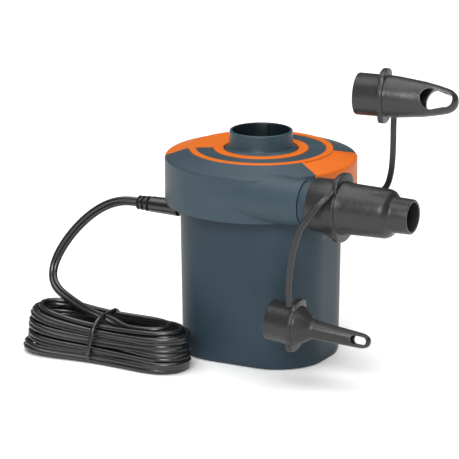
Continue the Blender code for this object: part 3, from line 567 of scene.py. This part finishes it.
def loop_point(share, right, left, half_depth):
    """A point on a long loop seen from above: share 0 is the middle of its front run, and it turns anticlockwise."""
    side, reach, half = (1, right, share % 1.0) if share % 1.0 < 0.5 else (-1, left, share % 1.0 - 0.5)
    run = reach - half_depth
    along = half * 2 * (2 * run + pi * half_depth)
    if along < run:
        x, y = along, -half_depth
    elif along < run + pi * half_depth:
        angle = (along - run) / half_depth - pi / 2
        x, y = run + half_depth * cos(angle), half_depth * sin(angle)
    else:
        x, y = 2 * run + pi * half_depth - along, half_depth
    return side * x, side * y


def eased(value):
    value = min(1.0, max(0.0, value))
    return value * value * (3 - 2 * value)


def turn_at(turns_done):
    """Height and lane at this place on the hank, eased from one station to the next."""
    stations = [station for turn_row in TURNS for station in turn_row[:4]]
    k = min(int(turns_done * 4), len(stations) - 1)
    mix = eased(turns_done * 4 - k)
    here, there = stations[k], stations[min(k + 1, len(stations) - 1)]
    return tuple(a + (b - a) * mix for a, b in zip(here, there))


def hank_path():
    """The hank's turns from the top one down: they cross each other, spread at the ends and are pinched by the tie."""
    points = []
    steps = 36
    for step in range(int(0.1 * steps), int((len(TURNS) - 0.64) * steps)):
        turns_done = step / steps
        height, lane = turn_at(turns_done)
        short_right, short_left = TURNS[int(turns_done)][4:]
        reach = HANK_HALF_LENGTH - 1.7
        half_depth = 15.8 - LANE_PITCH * lane
        x, y = loop_point(turns_done, reach - short_right, reach - short_left, half_depth)
        tie = TIE_X - HANK_CENTRE[0]
        spread = max(eased((tie - x) / 34), eased((x - tie) / 44))
        y *= 0.7 + 0.3 * spread
        y += 0.24 * (height - 9.0) - 2.0 * eased((x - 20) / 30)
        y -= 4.0 * eased((-20 - x) / 34) * eased((8 - height) / 6)
        points.append(Vector((HANK_CENTRE[0] + x, HANK_CENTRE[1] + y, height)))
    return points


def flex_outline():
    """The outline of flat twin flex: two round cores side by side, with a groove between them."""
    outline = []
    core = FLEX_THICK / 2
    centre = FLEX_WIDTH / 2 - core
    for side, first in ((1, -138), (-1, 42)):
        for step in range(10):
            angle = radians(first + 276 * step / 9)
            outline.append((side * centre + core * cos(angle), core * sin(angle)))
    return outline


def make_cord():
    """One flat twin flex: lead, hank and tail in a single run, with its tie and its plug."""
    turns = hank_path()
    lead = smooth_points([*LEAD_ROUTE, turns[0], turns[1]], 3.0)[:-1]
    leave = smooth_points([turns[-2], turns[-1], *TAIL_ROUTE], 3.0)[2:]
    points = lead + turns[1:] + leave
    for _ in range(4):
        smoothed = [(a + 2 * b + c) / 4 for a, b, c in zip(points, points[1:], points[2:])]
        points = [points[0], *smoothed, points[-1]]
    cord = swept("cord", points, flex_outline(), flex_facings(points, len(lead)), 60)
    dress(cord, "cord_sheath", "housing", "cord_lead", "cord_hank", "cord_tail")
    make_tie()
    make_plug()
    make_strain_relief()


def flex_facings(points, lead_count):
    """Which way the flat of the flex faces: forward out of the gland, then sideways, and outwards round the hank."""
    facings = []
    for i in range(len(points)):
        along = points[min(i + 1, len(points) - 1)] - points[max(i - 1, 0)]
        outward = along.cross(Vector((0, 0, 1))).normalized()
        twist = 0.42 * sin(i / 7.3) + 0.3 * sin(i / 2.9 + 1)
        outward = (outward + Vector((0, 0, 1)) * twist).normalized()
        forward = Vector((0.3, -1.0, 0.3)).normalized()
        side = Vector((-0.6, -0.3, 0.8)).normalized()
        to_side = eased((i - 0.35 * lead_count) / (0.25 * lead_count))
        to_hank = eased((i - 0.8 * lead_count) / (0.2 * lead_count))
        lead_facing = forward * (1 - to_side) + side * to_side
        facings.append((lead_facing * (1 - to_hank) + outward * to_hank).normalized())
    return facings


def make_tie():
    """A thin tie drawn round the middle of the hank."""
    outline = rounded_rectangle(14.6, HANK_HEIGHT / 2 + 1.6, 8.0, 8)
    route = []
    for u, v in outline:
        lean = 2.4 * v / HANK_HEIGHT
        y = HANK_CENTRE[1] + u + 0.25 * v
        route.append(Vector((TIE_X + lean, y, max(0.8, HANK_HEIGHT / 2 + 1.2 + v))))
    sections = []
    count = len(route)
    for i, point in enumerate(route):
        along = (route[(i + 1) % count] - route[i - 1]).normalized()
        across = Vector((1, 0, 0))
        out = across.cross(along).normalized()
        angles = [2 * pi * k / 8 for k in range(8)]
        sections.append([point + across * (1.1 * cos(a)) + out * (0.7 * sin(a)) for a in angles])
    points = [p for section in sections for p in section]
    faces = []
    for k in range(count):
        n = (k + 1) % count
        for i in range(8):
            j = (i + 1) % 8
            faces.append((k * 8 + i, k * 8 + j, n * 8 + j, n * 8 + i))
    tie = make_mesh("tie", points, faces, 60)
    return dress(tie, "cord_sheath", "housing", "cord_tie")


def make_plug():
    """A moulded flat plug with finger grips, a tapered neck and two round pins."""
    x, y = PLUG_CENTRE
    low, high = 0.4, 14.0
    middle = (low + high) / 2
    sections = []
    stations = (
        (-18.0, 4.2, 3.0),
        (-16.5, 5.6, 3.8),
        (-12.0, 7.6, 5.0),
        (-7.0, 10.4, 6.2),
        (-1.0, 12.6, 6.8),
        (12.0, 13.0, 6.8),
        (16.5, 12.6, 6.6),
        (18.0, 11.6, 5.8),
    )
    for along, half_width, half_height in stations:
        outline = rounded_rectangle(half_width, half_height, min(half_width, half_height) * 0.75, 8)
        sections.append([(x + u, y + along, middle + v) for u, v in outline])
    body = lofted("plug", sections, 40)
    for k in range(3):
        for side in (1, -1):
            groove = block("groove", (-9.0, -0.6, -0.5), (9.0, 0.6, 0.5))
            cut(body, move(groove, x, y + 3 + 3.4 * k, middle + side * 6.9))
    dress(body, "cord_sheath", "housing", "plug_body")
    pins = []
    for i, side in ((1, 1), (2, -1)):
        profile = [(0, 0), (2.0, 0), (2.0, 17.2), (1.4, 18.3), (0, 18.5)]
        pin = turn(turned(f"pin_{i}", profile, 32), -90, "X")
        move(pin, x + side * 9.3, y + 18.0 + GAP, middle + 0.2)
        pins.append(dress(pin, "brass", "housing", f"plug_pin_{i}"))
    return [body, *pins]


def make_strain_relief():
    """The moulded boot where the cord leaves the canister under the head."""
    inside, outside = -36.2, -CANISTER_HALF_X - GAP
    profile = [(0, -32.0), (5.6, -32.0), (5.6, inside), (4.0, inside)]
    profile += [(4.0, outside), (4.9, outside), (5.3, outside - 0.5)]
    for x in (-60.0, -63.3, -66.0):
        outer = 5.3 + 0.07 * (x + 54)
        profile += [(outer, x + 0.4), (outer - 0.3, x), (3.5, x - 0.1)]
        profile += [(3.5, x - 1.0), (outer - 0.4, x - 1.1), (outer - 0.1, x - 1.4)]
    profile += [(4.5, GLAND_END_X + 0.5), (4.1, GLAND_END_X + 0.1), (3.6, GLAND_END_X), (0, GLAND_END_X)]
    boot = lay_along_x(turned("boot", profile, 48))
    boot.data.transform(Matrix.Scale(0.88, 4, Vector((0, 0, 1))))
    move(boot, 0, GLAND_Y, GLAND_Z)
    return dress(boot, "cord_sheath", "housing", "strain_relief")


# ---------------------------------------------------------------- head


def head_outline(offset=0.0, low=SKIRT_Z):
    """The closed profile of the head from its axis: top, slope, crease and wall, moved in by offset."""
    edge = []
    for step in range(13):
        angle = radians(74 * step / 12)
        edge.append((HEAD_RADIUS - 1.9 + 1.9 * cos(angle), CREASE_Z - 1.7 + 1.9 * sin(angle)))
    outline = [(0, low), (HEAD_RADIUS - offset, low)]
    outline += [(r - offset * 0.95, z - offset * 0.9) for r, z in edge]
    outline += [(RECESS_RADIUS, TOP_Z - offset), (0, TOP_Z - offset)]
    return outline


def outlet_tube(name, start, end, radius, segments=72):
    return move(lay_along_x(rod(name, radius, start, end, segments)), 0, OUTLET_Y, OUTLET_Z)


def wing(name, offsets, side, clearance=0.0):
    """A shell over the edge of the head, through a part of the turn. The edge at its end may slant to the radius."""
    start, end, slant, low = WINGS[side]
    inner = head_outline(offsets[0], low - clearance)[1:-1]
    outer = head_outline(offsets[1], low - clearance)[1:-1]
    inner[-1] = (RECESS_RADIUS - 1.5, inner[-1][1])
    outer[-1] = (RECESS_RADIUS - 1.5, outer[-1][1])
    extra = degrees(clearance / HEAD_RADIUS)
    sweep = end - start + (6 if slant else extra)
    shape = turned(name, outer + inner[::-1], 40, start - extra, sweep + extra)
    if slant:
        cut(shape, beyond_wing(side, clearance))
    return shape


def beyond_wing(side, clearance):
    """A block over everything past a wing's slanted edge."""
    end, slant = WINGS[side][1:3]
    far_side = turn(block("far_side", (-40, clearance, 80), (40, 40, 130)), end + slant)
    return move(far_side, *on_circle(HEAD_RADIUS, end))


def make_head():
    """The capped head with its tangential duct, the open port and the recesses for the trim."""
    shell = turned("head", head_outline(), 144)
    duct_profile = [(0, -9), (11.0, -9), (12.9, -3.5), (DUCT_ROOT_RADIUS, 0.5)]
    duct_profile += [(DUCT_RADIUS, DUCT_END_X), (0, DUCT_END_X)]
    duct = turned("duct", duct_profile, 96)
    join(shell, move(lay_along_x(duct), 0, OUTLET_Y, OUTLET_Z))
    hollow = turned(
        "hollow",
        [
            (0, SKIRT_Z - 5),
            (HEAD_RADIUS - HEAD_WALL, SKIRT_Z - 5),
            (HEAD_RADIUS - HEAD_WALL, CREASE_Z - 4.4),
            (HEAD_RADIUS - 5.6, CREASE_Z - 2.6),
            (RECESS_RADIUS, CEILING_Z),
            (0, CEILING_Z),
        ],
        144,
    )
    cut(shell, hollow, outlet_tube("duct_bore", -6, DUCT_END_X + 5, DUCT_BORE))
    cut(shell, rod("recess", RECESS_RADIUS, RECESS_Z, TOP_Z + 5, 144), rod("port", PORT_RADIUS, 90, TOP_Z + 5, 72))
    for side in range(len(WINGS)):
        cut(shell, wing("pocket", (WING_DEPTH + 0.15, -3.0), side, GAP))
    cut(shell, block("gland_notch", (-60, GLAND_Y - 9.5, SKIRT_Z - 3), (-49, GLAND_Y + 9.5, SKIRT_Z + 1.2)))
    for i, angle in enumerate(HEAD_SCREW_ANGLES):
        x, y = on_circle(HEAD_SCREW_RADIUS, angle)
        join(shell, move(rod(f"boss_{i}", 3.3, DECK_TOP_Z + GAP, 108.6, 32), x, y))
        cut(shell, move(rod(f"pilot_{i}", 1.35, 80, 102, 24), x, y))
    shade(shell.data, 9)
    return dress(shell, "head_shell", "housing", "upper_housing")


def edge_rib(low, start, sweep, segments=4):
    """A raised strip over the wing's surface, from its top to its lower edge."""
    inner = head_outline(1.0, low + 0.01)[1:-1]
    outer = head_outline(-0.12, low + 0.01)[1:-1]
    inner[-1] = (RECESS_RADIUS - 1.2, inner[-1][1])
    outer[-1] = (RECESS_RADIUS - 1.2, outer[-1][1])
    return turned("rib", outer + inner[::-1], segments, start, sweep)


def make_trim():
    """Two raised rings, a plain field between them at the back, and two ribbed wings over the edge of the head."""
    web = (RECESS_Z + GAP, RECESS_Z + 1.1)
    raised = TOP_Z + 0.35
    profile = [(20.3, web[0]), (39.0, web[0])]
    profile += [(39.0, raised - 0.35), (38.9, raised - 0.1), (38.65, raised), (35.55, raised), (35.3, raised - 0.1)]
    profile += [(35.2, raised - 0.35), (35.2, web[1]), (25.6, web[1])]
    profile += [(25.6, raised - 0.35), (25.5, raised - 0.1), (25.25, raised)]
    profile += [(20.65, raised), (20.4, raised - 0.1), (20.3, raised - 0.35)]
    trim = turned("trim", profile, 144)
    start, end = WINGS[1][:2]
    fill = [(24.3, web[0] + 0.15), (36.6, web[0] + 0.15), (36.6, raised - 0.22), (24.3, raised - 0.22)]
    join(trim, turned("fill", fill, 40, start + 0.9, end - start - 1.8))
    for side in range(len(WINGS)):
        join(trim, wing("wing", (WING_DEPTH - 0.15, WING_RECESS), side))
    join(trim, edge_rib(WINGS[0][3], WINGS[0][0], EDGE_RIB_SWEEP))
    join(trim, edge_rib(WINGS[1][3], WINGS[1][1] - EDGE_RIB_SWEEP, EDGE_RIB_SWEEP))
    slanted = wing("slanted_rib", (1.0, -0.12), 0)
    keep = beyond_wing(0, -1.7)
    join(trim, apply_boolean(slanted, [keep], "INTERSECT"))
    join(trim, edge_rib(WINGS[1][3], RAISED_WING_START, WINGS[1][1] - RAISED_WING_START - 1.0, 30))
    slot_angle = 141
    slot_x, slot_y = on_circle(45.5, slot_angle)
    slot = turn(block("slot", (-3.2, -0.7, -1), (3.2, 0.7, 1)), slot_angle + 90)
    cut(trim, move(slot, slot_x, slot_y, 112.4))
    return dress(trim, "orange_trim", "housing", "trim_ring")


def make_label_arc():
    """The grey arc between the rings, with fine concentric ridges."""
    low = RECESS_Z + 1.4
    top = TOP_Z - 0.1
    profile = [(25.9, low), (34.9, low), (34.9, top)]
    for k in range(4):
        ridge = 34.0 - 2.1 * k
        profile += [(ridge, top), (ridge - 0.2, top + 0.28), (ridge - 0.45, top + 0.35), (ridge - 0.85, top + 0.35)]
        profile += [(ridge - 1.1, top + 0.28), (ridge - 1.3, top)]
    profile.append((25.9, top))
    start, end = WINGS[1][:2]
    arc = turned("label_arc", profile, 120, end, 360 - (end - start))
    return dress(arc, "head_shell", "housing", "label_ring")


def make_collar():
    """The intake collar, with a rounded lip, a spread foot and two ribs down its bore."""
    low = RECESS_Z + GAP
    lip = [(COLLAR_RADIUS - 0.9 + 0.75 * cos(a), COLLAR_TOP_Z - 0.75 + 0.75 * sin(a)) for a in (0.2, 0.7, 1.2, pi / 2)]
    foot = [(19.6, low), (19.6, TOP_Z), (19.3, TOP_Z + 0.3), (18.3, TOP_Z + 0.6)]
    foot += [(17.7, TOP_Z + 1.1), (COLLAR_RADIUS + 0.1, TOP_Z + 2.0)]
    profile = [(PORT_RADIUS, low), *foot, (COLLAR_RADIUS - 0.15, COLLAR_TOP_Z - 1.0), *lip]
    profile += [(PORT_RADIUS + 0.6, COLLAR_TOP_Z), (PORT_RADIUS + 0.2, COLLAR_TOP_Z - 0.2)]
    profile.append((PORT_RADIUS, COLLAR_TOP_Z - 0.7))
    collar = turned("collar", profile, 96)
    for angle in (102, 282):
        rib = block("rib", (PORT_RADIUS - 0.9, -0.55, 117.2), (PORT_RADIUS + 0.4, 0.55, COLLAR_TOP_Z - 1.2))
        join(collar, turn(rib, angle))
    return dress(collar, "collar_plastic", "housing", "port_collar")


def make_grille():
    """The finger guard of rings and spokes inside the collar."""
    low, high = 114.6, 116.4
    grille = ring("grille", 13.6, PORT_RADIUS - GAP, low, high, 72)
    for k in range(4):
        join(grille, turn(block(f"spoke_{k}", (-14.2, -0.7, low + 0.2), (14.2, 0.7, high - 0.2)), 45 * k))
    join(grille, ring("middle", 8.0, 9.3, low + 0.1, high - 0.1, 60), rod("hub", 3.2, low, high, 40))
    return dress(grille, "collar_plastic", "housing", "intake_grille")


# ---------------------------------------------------------------- canister


def canister_outline(z, inset=0.0):
    share = BASE_SHRINK + (1 - BASE_SHRINK) * z / DECK_TOP_Z
    half_x = CANISTER_HALF_X * share - inset
    half_y = CANISTER_HALF_Y * share - inset
    return rounded_rectangle(half_x, half_y, CANISTER_CORNER * share - inset, 20)


def canister_solid(name, inset, low, high, rounding=0.0):
    levels = [low, high]
    if rounding:
        levels = [low + rounding * (1 - cos(radians(90 * k / 6))) for k in range(7)] + [high]
    sections = []
    for z in levels:
        depth = max(0.0, low + rounding - z)
        round_inset = rounding - sqrt(max(0.0, rounding**2 - depth**2)) if rounding else 0.0
        sections.append([(x, y, z) for x, y in canister_outline(max(z, 0), inset + round_inset)])
    return lofted(name, sections)


def make_canister():
    """The tapered canister with its vents, switch opening and cord hole."""
    shell = canister_solid("canister", 0.0, 0.0, DECK_Z - GAP, 1.8)
    cut(shell, canister_solid("inside", CANISTER_WALL, -3.0, DECK_Z + 3))
    half_width = SWITCH_WIDTH / 2 + GAP
    half_height = SWITCH_HEIGHT / 2 + GAP
    hole_low, hole_high = SWITCH_Z - half_height, SWITCH_Z + half_height
    cut(shell, block("switch_hole", (-half_width, 25, hole_low), (half_width, 45, hole_high)))
    for k in range(6):
        slot = extruded("vent", rounded_rectangle(1.5, 11, 1.45, 6), 25, 45)
        cut(shell, move(turn(slot, -90, "X"), -17.5 + 7.0 * k, 0, 35))
    cut(shell, move(lay_along_x(rod("gland_hole", 4.3, -46, -36, 40)), 0, GLAND_Y, GLAND_Z))
    return dress(shell, "canister_shell", "housing", "lower_housing")


def make_switch():
    """The switch frame on the rear wall, with its sleeve and an empty well."""
    low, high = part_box("switch_frame")
    low, high = low / MM, high / MM
    frame_plate = block("switch_plate", (low.x, high.y - 1.7, low.z), high)
    bevel(frame_plate, 0.6, 3)
    half_x, half_z = SWITCH_WIDTH / 2, SWITCH_HEIGHT / 2
    join(frame_plate, block("sleeve", (-half_x, low.y, SWITCH_Z - half_z), (half_x, high.y - 0.8, SWITCH_Z + half_z)))
    well_low = (-half_x + 1.2, low.y + 3, SWITCH_Z - half_z + 1.2)
    well_high = (half_x - 1.2, high.y + 3, SWITCH_Z + half_z - 1.2)
    cut(frame_plate, block("well", well_low, well_high))
    dress(frame_plate, "adapter_rubber", "housing", "switch_frame")


# ---------------------------------------------------------------- outlet and adapters


def make_spigot():
    """The grey outlet pipe with its shoulder ring and bayonet lug."""
    profile = [
        (7.0, 27.3),
        (8.4, 27.3),
        (8.4, 38.0),
        (10.4, 38.0),
        (10.4, DUCT_END_X + GAP),
        (11.9, DUCT_END_X + GAP),
        (12.3, DUCT_END_X + 0.7),
        (12.4, DUCT_END_X + 1.2),
        (12.4, ADAPTER_START_X - 1.0),
        (12.2, ADAPTER_START_X - 0.5),
        (11.8, ADAPTER_START_X - GAP),
        (SPIGOT_RADIUS, ADAPTER_START_X - GAP),
        (SPIGOT_RADIUS, SPIGOT_END_X - 1),
        (SPIGOT_RADIUS - 0.6, SPIGOT_END_X),
        (9.0, SPIGOT_END_X),
        (9.0, 50.0),
        (7.0, 40.0),
    ]
    spigot = move(lay_along_x(turned("spigot", profile, 80)), 0, OUTLET_Y, OUTLET_Z)
    lug = block("lug", (55.4, OUTLET_Y - 3.4, OUTLET_Z - 18.7), (57.2, OUTLET_Y + 3.4, OUTLET_Z - 9.8))
    bevel(lug, 0.4, 2)
    join(spigot, lug)
    return dress(spigot, "canister_shell", "housing", "outlet_spigot")


def lobed_flange(inner_radius, round_radius, lobe_radius, low, high):
    """A ring with rounded rims and a finger lobe at each end of a diameter. The lobes lie along the shape's own X."""
    outline = []
    for angle in range(0, 360, 4):
        away = abs((angle + 90) % 180 - 90)
        share = min(1.0, 1.6 * max(0.0, 1 - (away / 46) ** 2))
        outline.append((round_radius + (lobe_radius - round_radius) * share, angle))
    sections = []
    rims = ((low, 0.5), (low + 0.15, 0.15), (low + 0.5, 0), (high - 0.5, 0), (high - 0.15, 0.15), (high, 0.5))
    for z, inset in rims:
        sections.append([(*on_circle(radius - inset, angle), z) for radius, angle in outline])
    return cut(lofted("flange", sections), rod("inside", inner_radius, low - 2, high + 2, 72))


def make_large_adapter():
    """The large adapter: collar, lobed flange, cone with a rounded shoulder, and tip."""
    start, flange, tip = ADAPTER_START_X, ADAPTER_FLANGE_X, ADAPTER_TIP_X
    bore = SPIGOT_RADIUS + 0.4
    profile = [(bore, start), (13.8, start), (14.15, start + 0.2), (14.3, start + 0.6), (14.3, flange + 1.4)]
    profile += [(14.1, flange + 1.9), (13.9, flange + 2.8), (13.5, flange + 6), (13.0, tip - 14.5), (12.7, tip - 13.3)]
    profile += [(12.2, tip - 12.2), (11.4, tip - 11.3), (10.6, tip - 10.7), (9.9, tip - 10.2), (9.6, tip - 9.6)]
    profile += [(9.45, tip - 8.6), (9.2, tip - 0.8), (9.05, tip - 0.3), (8.7, tip), (7.8, tip), (7.6, tip - 0.3)]
    profile += [(7.8, tip - 12), (bore, flange + 7.5)]
    adapter = turned("large_adapter", profile, 96)
    join(adapter, lobed_flange(12.5, 15.0, 18.4, flange - 1.6, flange + 1.2))
    gusset = [(-13.0, 58.0), (-14.3, 58.0), (-18.0, flange - 0.8), (-13.0, flange - 0.8)]
    join(adapter, lofted("gusset", [[(x, y, z) for x, z in gusset] for y in (-3.5, 3.5)]))
    cut(adapter, block("slot", (-20, -4.0, start - 2), (-9, 4.0, 57.5)))
    move(lay_along_x(adapter), 0, OUTLET_Y, OUTLET_Z)
    return dress(adapter, "adapter_rubber", "large_adapter", "nozzle_adapter")


UPPER_VALVE_AT, UPPER_VALVE_YAW, UPPER_VALVE_PITCH = (90.5, -37.3, 159.4), 9.0, 0.8
LOWER_VALVE_AT, LOWER_VALVE_YAW, LOWER_VALVE_PITCH = (47.4, -51.5, 33.9), 2.5, 5.4


def soften(obj):
    """Small rounded edges where the moulding's faces meet."""
    return bevel(obj, 0.25, 2, 35)


def place_along(obj, at, yaw, pitch):
    lay_along_x(obj)
    turn(obj, pitch, "Y")
    turn(obj, yaw, "Z")
    return move(obj, *at)


def socket_profile():
    """The rear half of a small adapter: an open socket."""
    return [(8.4, -14.3), (8.7, -14.6), (10.3, -14.6), (10.7, -14.4), (10.9, -13.9)]


def eyelet_window(near, far, tilt):
    """The cutter of a long hole with round ends. Each end is (height, radius), and the hole slopes down to the back."""
    outline = []
    for (height, radius), first in ((far, 0), (near, 180)):
        corners = [on_circle(radius, first + step) for step in range(0, 181, 12)]
        outline += [(across, height + up) for across, up in corners]
    sections = [[(across, y, up) for across, up in outline] for y in (-16, 16)]
    return turn(lofted("window", sections), -tilt, "Z")


def make_upper_valve():
    """The small adapter with a wide barrel and a long eyelet through its rounded tip."""
    profile = [*socket_profile(), (10.9, 3.5), (10.8, 5.4), (10.6, 8.0), (9.1, 21.3), (7.7, 28.6), (6.7, 32.9)]
    profile += [(6.1, 34.8), (5.2, 36.4), (4.2, 37.6), (3.0, 38.5), (1.6, 39.0), (0, 39.2)]
    profile += [(0, 37.0), (2.6, 36.0), (4.8, 32.0), (8.2, 14.0), (8.4, 13.0)]
    valve = turned("upper_valve", profile, 72)
    join(valve, lobed_flange(9.6, 11.9, 14.3, -1.5, 1.5))
    cut(valve, eyelet_window((26.3, 6.0), (32.8, 4.1), 25))
    soften(valve)
    place_along(valve, UPPER_VALVE_AT, UPPER_VALVE_YAW, UPPER_VALVE_PITCH)
    return dress(valve, "adapter_rubber", "upper_small_adapter", "upper_valve_adapter")


def make_lower_valve():
    """The small adapter with a short cone and a thin stem that ends in an eyelet."""
    profile = [*socket_profile(), (10.9, 1.6), (10.5, 2.6), (6.0, 9.0), (5.5, 9.8), (5.2, 10.6), (5.05, 11.6)]
    profile += [(4.1, 37.5), (3.8, 39.4), (3.2, 40.9), (2.4, 42.0), (1.4, 42.6), (0, 42.8)]
    profile += [(0, 41.4), (1.5, 40.7), (2.7, 37.0), (2.9, 16.0), (3.6, 10.0), (7.4, 3.0), (8.4, 1.0)]
    valve = turned("lower_valve", profile, 72)
    join(valve, lobed_flange(9.6, 11.9, 14.3, -1.5, 1.5))
    cut(valve, eyelet_window((34.6, 2.35), (39.1, 2.15), 15))
    soften(valve)
    place_along(valve, LOWER_VALVE_AT, LOWER_VALVE_YAW, LOWER_VALVE_PITCH)
    return dress(valve, "adapter_rubber", "lower_small_adapter", "lower_valve_adapter")


UPPER_STRAP = (
    (69.0, -22.6, 98.2),
    (74.0, -20.8, 99.6),
    (80.0, -20.6, 102.4),
    (84.7, -21.0, 107.0),
    (87.2, -21.6, 114.0),
    (88.4, -22.2, 122.0),
    (89.0, -22.8, 132.0),
    (89.2, -23.2, 140.0),
    (89.6, -23.6, 147.5),
    (90.2, -23.8, 153.0),
)
LOWER_STRAP = (
    (68.0, -50.9, 109.0),
    (66.4, -54.2, 106.6),
    (63.3, -57.0, 103.1),
    (58.5, -59.2, 96.1),
    (54.1, -60.4, 89.4),
    (50.9, -61.2, 79.7),
    (48.8, -61.2, 68.2),
    (47.5, -60.6, 57.0),
    (47.4, -59.8, 50.5),
    (47.4, -59.3, 46.2),
)


def make_straps():
    """The flat moulded straps, with a shallow groove down the middle."""
    half, thick = 1.6, 0.8
    outline = [(half, -0.3), (half, 0.3), (half - 0.35, thick), (0.6, thick), (0, thick * 0.7), (-0.6, thick)]
    outline += [(-half + 0.35, thick), (-half, 0.3), (-half, -0.3), (-half + 0.35, -thick), (half - 0.35, -thick)]
    for name, route, body, node in (
        ("upper_strap", UPPER_STRAP, "upper_small_adapter", "upper_tether"),
        ("lower_strap", LOWER_STRAP, "lower_small_adapter", "lower_tether"),
    ):
        points = smooth_points(route, 1.5)
        strap = swept(name, points, outline, [Vector((0, -1, 0))] * len(points), 60)
        dress(strap, "adapter_rubber", body, node)


# ---------------------------------------------------------------- scene

materials = make_materials()
make_camera()
dress_cad_nodes()
make_cord()
make_studio()
make_head()
make_trim()
make_label_arc()
make_collar()
make_grille()
make_canister()
make_switch()
make_spigot()
make_large_adapter()
make_upper_valve()
make_lower_valve()
make_straps()
